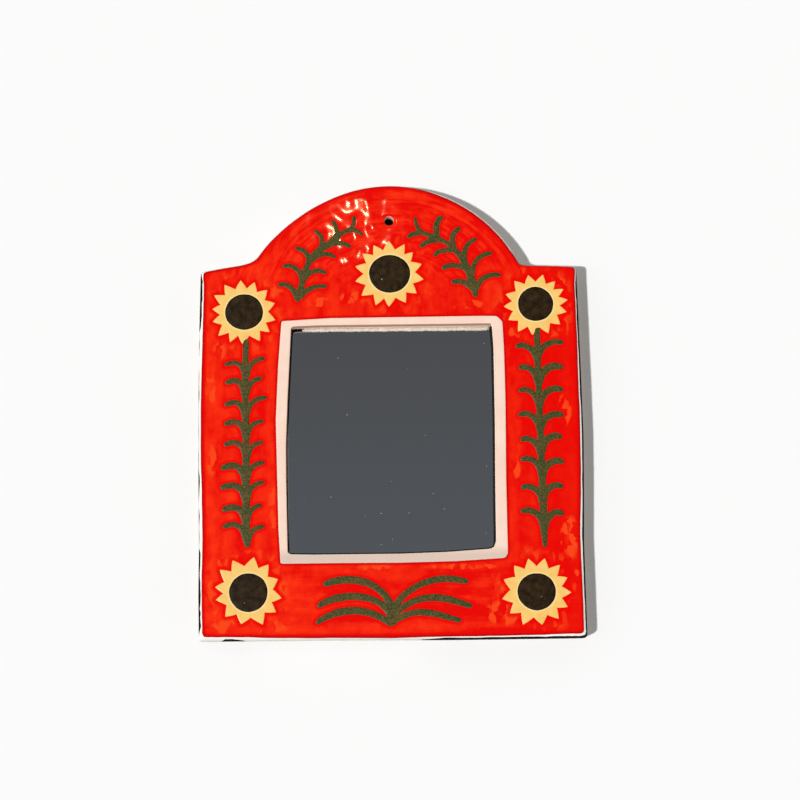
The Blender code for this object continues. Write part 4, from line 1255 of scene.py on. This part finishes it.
for where, (centre, radii, _, _) in FLOWERS.items():
    points, groups, facts = petal_ring(centre, radii, EDGES[where])
    node = "petals_" + where
    piece(node + "_glaze", points, groups, [yellow_glaze], node, facts=facts)
    front = [(s, SINK - DISC_PROUD - soft_rise((1 - s) * radii[0], *DISC_RISE)) for s in DISC_RINGS]
    rear = [(s, BURIED) for s in REAR_RINGS]
    points, groups, share = round_solid(centre, radii, front + rear, ROUND_POINTS)
    points[:, 1] += face_y(points[:, 0], points[:, 2])
    facts = {"inside": np.r_[np.repeat((1 - share) * radii[0], ROUND_POINTS), radii[0], radii[0]]}
    node = "disc_" + where
    piece(node + "_glaze", points, groups, [brown_glaze], node, facts=facts)

# %% [markdown]
# ## Cream band
# The band round the window was painted after the red, with a wide brush. It rolls over the lip of the window
# and ends on the wall. Its section follows the slab's surface a little outside it, and closes inside it.

# %% Window border
BAND_SHARES = (0, 0.03, 0.07, 0.13, 0.25, 0.45, 0.65, 0.85, 1.0)
BAND_TURNS = np.radians([86, 80, 72])
BAND_HIGH, BAND_SOFT, BAND_END_SOFT = 0.16, 1.4, 0.7
side_points = BAND_COUNTS[0]
left_start = 3 * side_points
hole_line = hand_line(WINDOW, (0, 5, 10, 13), BAND_COUNTS, WINDOW_SOFT)
hole_normal = outward(hole_line)
# The lip narrows to its left-hand width within a few points of the two left corners.
narrow_at = [0, 4, left_start - 2, left_start + 4]
hole_wide = np.interp(np.arange(len(band)), narrow_at, [LEFT_LIP, LIP, LIP, LEFT_LIP])
hole_over = hole_normal * hole_wide[:, None]
hole_lip = face_y(*hole_line.T) + hole_wide
path, facing = [], []
for share in BAND_SHARES:
    flat = band + (hole_line + hole_over - band) * share
    path.append(at_depth(flat, face_y(*flat.T)))
    facing.append(at_depth(np.zeros_like(flat), -1.0))
for turn in BAND_TURNS:
    flat = hole_line + hole_over * (1 - np.cos(turn))
    path.append(at_depth(flat, hole_lip - hole_wide * np.sin(turn)))
    facing.append(at_depth(-hole_normal * np.cos(turn), -np.sin(turn)))
path, facing = np.stack(path), np.stack(facing)
walked = np.cumsum(np.linalg.norm(np.diff(path, axis=0, prepend=path[:1]), axis=2), axis=0)
to_lip = walked[-1] - walked
rise = np.minimum(soft_rise(walked, BAND_HIGH, BAND_SOFT), soft_rise(to_lip, BAND_HIGH, BAND_END_SOFT))
shell = path + facing * (rise - SINK)[..., None]
grid = np.concatenate([shell, (path - facing * BURIED)[-2:0:-1]])
points = grid.reshape(-1, 3)
# The foot's lip gets no painted shade, and on the right a faint tan line of painted shade runs a little way
# from the lip.
foot, right = slice(0, side_points), slice(side_points, 2 * side_points)
to_lip[:, foot] += 2.0
to_lip[:, right] = 0.3 + 0.4 * np.abs(to_lip[:, right] - 0.6)
facts = {"to_lip": np.concatenate([to_lip, to_lip[-2:0:-1]])}
faces = looks_out(points, quads(len(grid), len(band), True, True))
piece("window_border_glaze", points, faces, [cream_glaze], "window_border", facts=facts)

# %% [markdown]
# ## Glue
# The pane was pressed into a bead of pale glue. Along the top some of it was squeezed out past the edge of
# the window, starting a little way from the left corner. It is a strip with a round, lumpy lower edge.

# %% Adhesive
# Acrylic glue sets to a pale, slightly glossy, lumpy bead.
glue, tree, spot = finish("pale adhesive", Roughness=0.45, IOR=1.45)
lump = add(tree, "TexNoise", {"Vector": spot, "Scale": 1 / 2.2 / MM, "Detail": 4, "Roughness": 0.65})
tone = add(tree, "MapRange", {0: lump, 1: 0.35, 2: 0.7})
dress(tree, "EADFD1", [(tone, "CDBBA6")], lump, 0.3)


def swept(section, name, materials, node):
    """A closed strip from sections (stations by points round by xyz), with a flat cap at each end."""
    stations, corners = section.shape[:2]
    points = section.reshape(-1, 3)
    first = np.arange(corners)[None, ::-1]
    last = (stations - 1) * corners + np.arange(corners)[None]
    sides = quads(stations, corners, False, True)
    piece(name, points, looks_out(points, sides, np.vstack([first, last])), materials, node)


GLUE_FRONT, GLUE_REAR = -9.2, -8.4
GLUE_STATIONS = 400
GLUE_SHOWN, GLUE_FADE = (-52.5, 58.6), 2.0
GLUE_HIDDEN, GLUE_FOOT, GLUE_NOSE = 3.0, -63.45, 0.6
LUMP_HIGH = 0.25
LUMPS = [(0.35, 0.3, 0.2), (0.9, 0.25, 1.3), (1.7, 0.25, 4.0), (2.9, 0.2, 2.2)]
low, high = box_mm("adhesive_top")
x = np.linspace(low[0], high[0], GLUE_STATIONS)
lumps = LUMP_HIGH * sum(a * np.sin(k * x + p) for k, a, p in LUMPS)
shown = np.clip((x - GLUE_SHOWN[0]) / GLUE_FADE, 0, 1) * np.clip((GLUE_SHOWN[1] - x) / GLUE_FADE, 0, 1)
hidden_edge = high[2] - GLUE_HIDDEN
edge_z = hidden_edge + shown * (GLUE_FOOT - hidden_edge + lumps)
nose = np.radians(np.linspace(90, -90, 11))
nose_y = (GLUE_FRONT + GLUE_REAR) / 2 + (GLUE_REAR - GLUE_FRONT) / 2 * np.sin(nose)
around_y = np.r_[GLUE_REAR, nose_y, GLUE_FRONT]
section = np.empty((len(x), len(around_y), 3))
section[..., 0] = x[:, None]
section[..., 1] = around_y
section[..., 2] = high[2]
section[:, 1:-1, 2] = edge_z[:, None] - GLUE_NOSE * np.cos(nose)
swept(section, "adhesive_top_bead", [glue], "adhesive_top")

# %% [markdown]
# ## The pane
# A mirror is glass with silver behind it. Seen from the front the two act as one bright metal surface, so
# the pane gets a metal's reflection, slightly grey because the glass takes some light on the way in and out.
# A few specks of dust and wiping marks keep it from looking like a hole.

# %% Mirror, its back and the board
# Silver behind glass: a clear, slightly grey reflection, dulled by wiping marks and specked with dust.
silvered, tree, spot = finish("silvered glass")
wiped = {"Scale": 1 / 28.0 / MM, "Detail": 4, "Roughness": 0.6, "Distortion": 1.2}
smear = add(tree, "TexNoise", {"Vector": spot, **wiped})
dull = add(tree, "MapRange", {0: smear, 1: 0.4, 2: 0.75, 3: 0.01, 4: 0.05})
cells = add(tree, "TexVoronoi", {"Vector": spot, "Scale": 1 / 5.0 / MM}).outputs
hit = add(tree, "MapRange", {0: cells["Distance"], 1: 0.06, 2: 0.03})
rare = add(tree, "SeparateColor", {0: cells["Color"]})
height = add(tree, "SeparateXYZ", {0: spot}).outputs["Z"]
settled = add(tree, "MapRange", {0: height, 1: -100 * MM, 2: -190 * MM, 3: 0.9, 4: 0.5})
rare = add(tree, "Math", {0: rare, 1: settled}, operation="GREATER_THAN")
dust = add(tree, "Math", {0: hit, 1: rare}, operation="MULTIPLY")
dust = add(tree, "Math", {0: dust, 1: 0.4}, operation="MULTIPLY")
rough = add(tree, "Math", {0: dust, 1: dull}, operation="MAXIMUM")
metal = add(tree, "Math", {0: 1.0, 1: dust}, operation="SUBTRACT")
dress(tree, "E4E8EA", [], Roughness=rough, Metallic=metal)

# The paint that guards the silver is a flat, faintly cloudy grey.
backing_paint, tree, spot = finish("grey paint on the silver", Roughness=0.5)
cloud = add(tree, "TexNoise", {"Vector": spot, "Scale": 1 / 12.0 / MM, "Detail": 4})
dress(tree, "6E7376", [(cloud, "7F8486")])

# Pressed pulp is dull and drawn out in fibres, here drawn coarser than they are so that they show.
grey_board, tree, spot = finish("grey board", Roughness=0.9)
fibre = add(tree, "Mapping", {"Vector": spot, "Scale": [1 / v / MM for v in (1.2, 1.0, 5.0)]})
fibre = add(tree, "TexNoise", {"Vector": fibre, "Scale": 1.0, "Detail": 4, "Roughness": 0.7})
tone = add(tree, "MapRange", {0: fibre, 1: 0.3, 2: 0.7})
dress(tree, "7C6B57", [(tone, "9A8970")], fibre, 0.08)

kept_solids = {"mirror_glass": silvered, "mirror_silvering": backing_paint, "backing_board": grey_board}
kept_solids.update({"adhesive_" + where: glue for where in ("bottom", "left", "right")})
for node, material in kept_solids.items():
    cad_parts[node].data.materials.clear()
    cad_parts[node].data.materials.append(material)
    print(node, "is", material.name)

# %% [markdown]
# ## Tape
# Brown gummed paper holds the board in. It was wetted and pressed down by hand, so it cockles, and each strip
# was torn off, not cut. A strip is a grid in its length and width, and its ends stray by a jagged line.

# %% Paper tape
# Gummed kraft paper: brown, dull and cloudy. Its pulp is drawn coarser than it is, so that it shows.
paper_tape, tree, spot = finish("gummed paper tape", Roughness=0.75)
pulp = add(tree, "TexNoise", {"Vector": spot, "Scale": 1 / 1.4 / MM, "Detail": 4, "Roughness": 0.7})
cloud = add(tree, "TexNoise", {"Vector": spot, "Scale": 1 / 18.0 / MM, "Detail": 3})
tone = add(tree, "Math", {0: pulp, 1: cloud}, operation="MULTIPLY")
tone = add(tree, "MapRange", {0: tone, 1: 0.15, 2: 0.4})
dress(tree, "A67F4E", [(tone, "C49E6A")], pulp, 0.05)

ALONG, WIDTH = 140, 14
TEARS = [(9, 0.0), (23, 1.0), (41, 2.0)]
TEAR_DEEP, TEAR_IN = 0.22, 0.7
COCKLES = [(0.31, 0.8, 1), (0.77, -0.35, 0)]
# Shares of the solid's thickness: the room for the cockles, and the paper itself.
COCKLE_SHARE, PAPER_SHARE = 0.45, 0.5
for number, where in enumerate(("top", "bottom", "left", "right")):
    low, high = box_mm("tape_" + where)
    length_axis, width_axis = (2, 0) if where in ("left", "right") else (0, 2)
    v = np.linspace(0, 1, WIDTH)
    torn = sum(np.sin(k * v + number * 2.1 + p) for k, p in TEARS) * TEAR_DEEP + TEAR_IN
    u = np.linspace(0, 1, ALONG)[:, None]
    along = low[length_axis] + torn + u * (high[length_axis] - low[length_axis] - torn - torn[::-1])
    across = np.broadcast_to(low[width_axis] + v * (high[width_axis] - low[width_axis]), along.shape)
    cockle = sum(np.sin(a * along + b * across + c * number) for a, b, c in COCKLES)
    thick = high[1] - low[1]
    outside = high[1] - COCKLE_SHARE * thick * (0.5 + 0.25 * cockle)
    sheet = np.empty((2, *along.shape, 3))
    sheet[..., length_axis], sheet[..., width_axis] = along, across
    sheet[..., 1] = outside, np.maximum(outside - PAPER_SHARE * thick, low[1])
    section = np.concatenate([sheet[0], sheet[1][:, ::-1]], axis=1)
    swept(section, "tape_" + where + "_strip", [paper_tape], "tape_" + where)

# %% [markdown]
# ## Felt pads
# Four stamped felt dots keep the ceramic off the wall. Their edges are a little crushed and furry.

# %% Pads
# Pressed wool: dark, dull and furry at the edge, its fibres drawn coarser than they are, so that they show.
felt, tree, spot = finish("pressed felt", Roughness=0.95, Sheen_Weight=0.4)
fur = add(tree, "TexNoise", {"Vector": spot, "Scale": 1 / 0.6 / MM, "Detail": 5, "Roughness": 0.75})
tone = add(tree, "MapRange", {0: fur, 1: 0.3, 2: 0.7})
dress(tree, "222B26", [(tone, "4A5850")], fur, 0.25)

# Rows of a pad: share of its radius and share of its thickness.
PAD_ROWS = [(0.15, 0), (0.5, 0), (0.85, 0), (0.95, 0.06), (0.985, 0.3), (0.975, 0.6)]
PAD_ROWS += [(0.985, 0.85), (0.94, 0.97), (0.8, 1), (0.45, 1), (0.15, 1)]
PAD_POINTS = 72
for where in ("top_left", "top_right", "bottom_left", "bottom_right"):
    node = "felt_pad_" + where
    low, high = box_mm(node)
    section = [(share, low[1] + depth * (high[1] - low[1])) for share, depth in PAD_ROWS]
    centre, radius = (low + high)[[0, 2]] / 2, (high - low)[[0, 2]] / 2
    points, groups, _ = round_solid(centre, radius, section, PAD_POINTS)
    pad = piece(node + "_dot", points, groups, [felt], node)
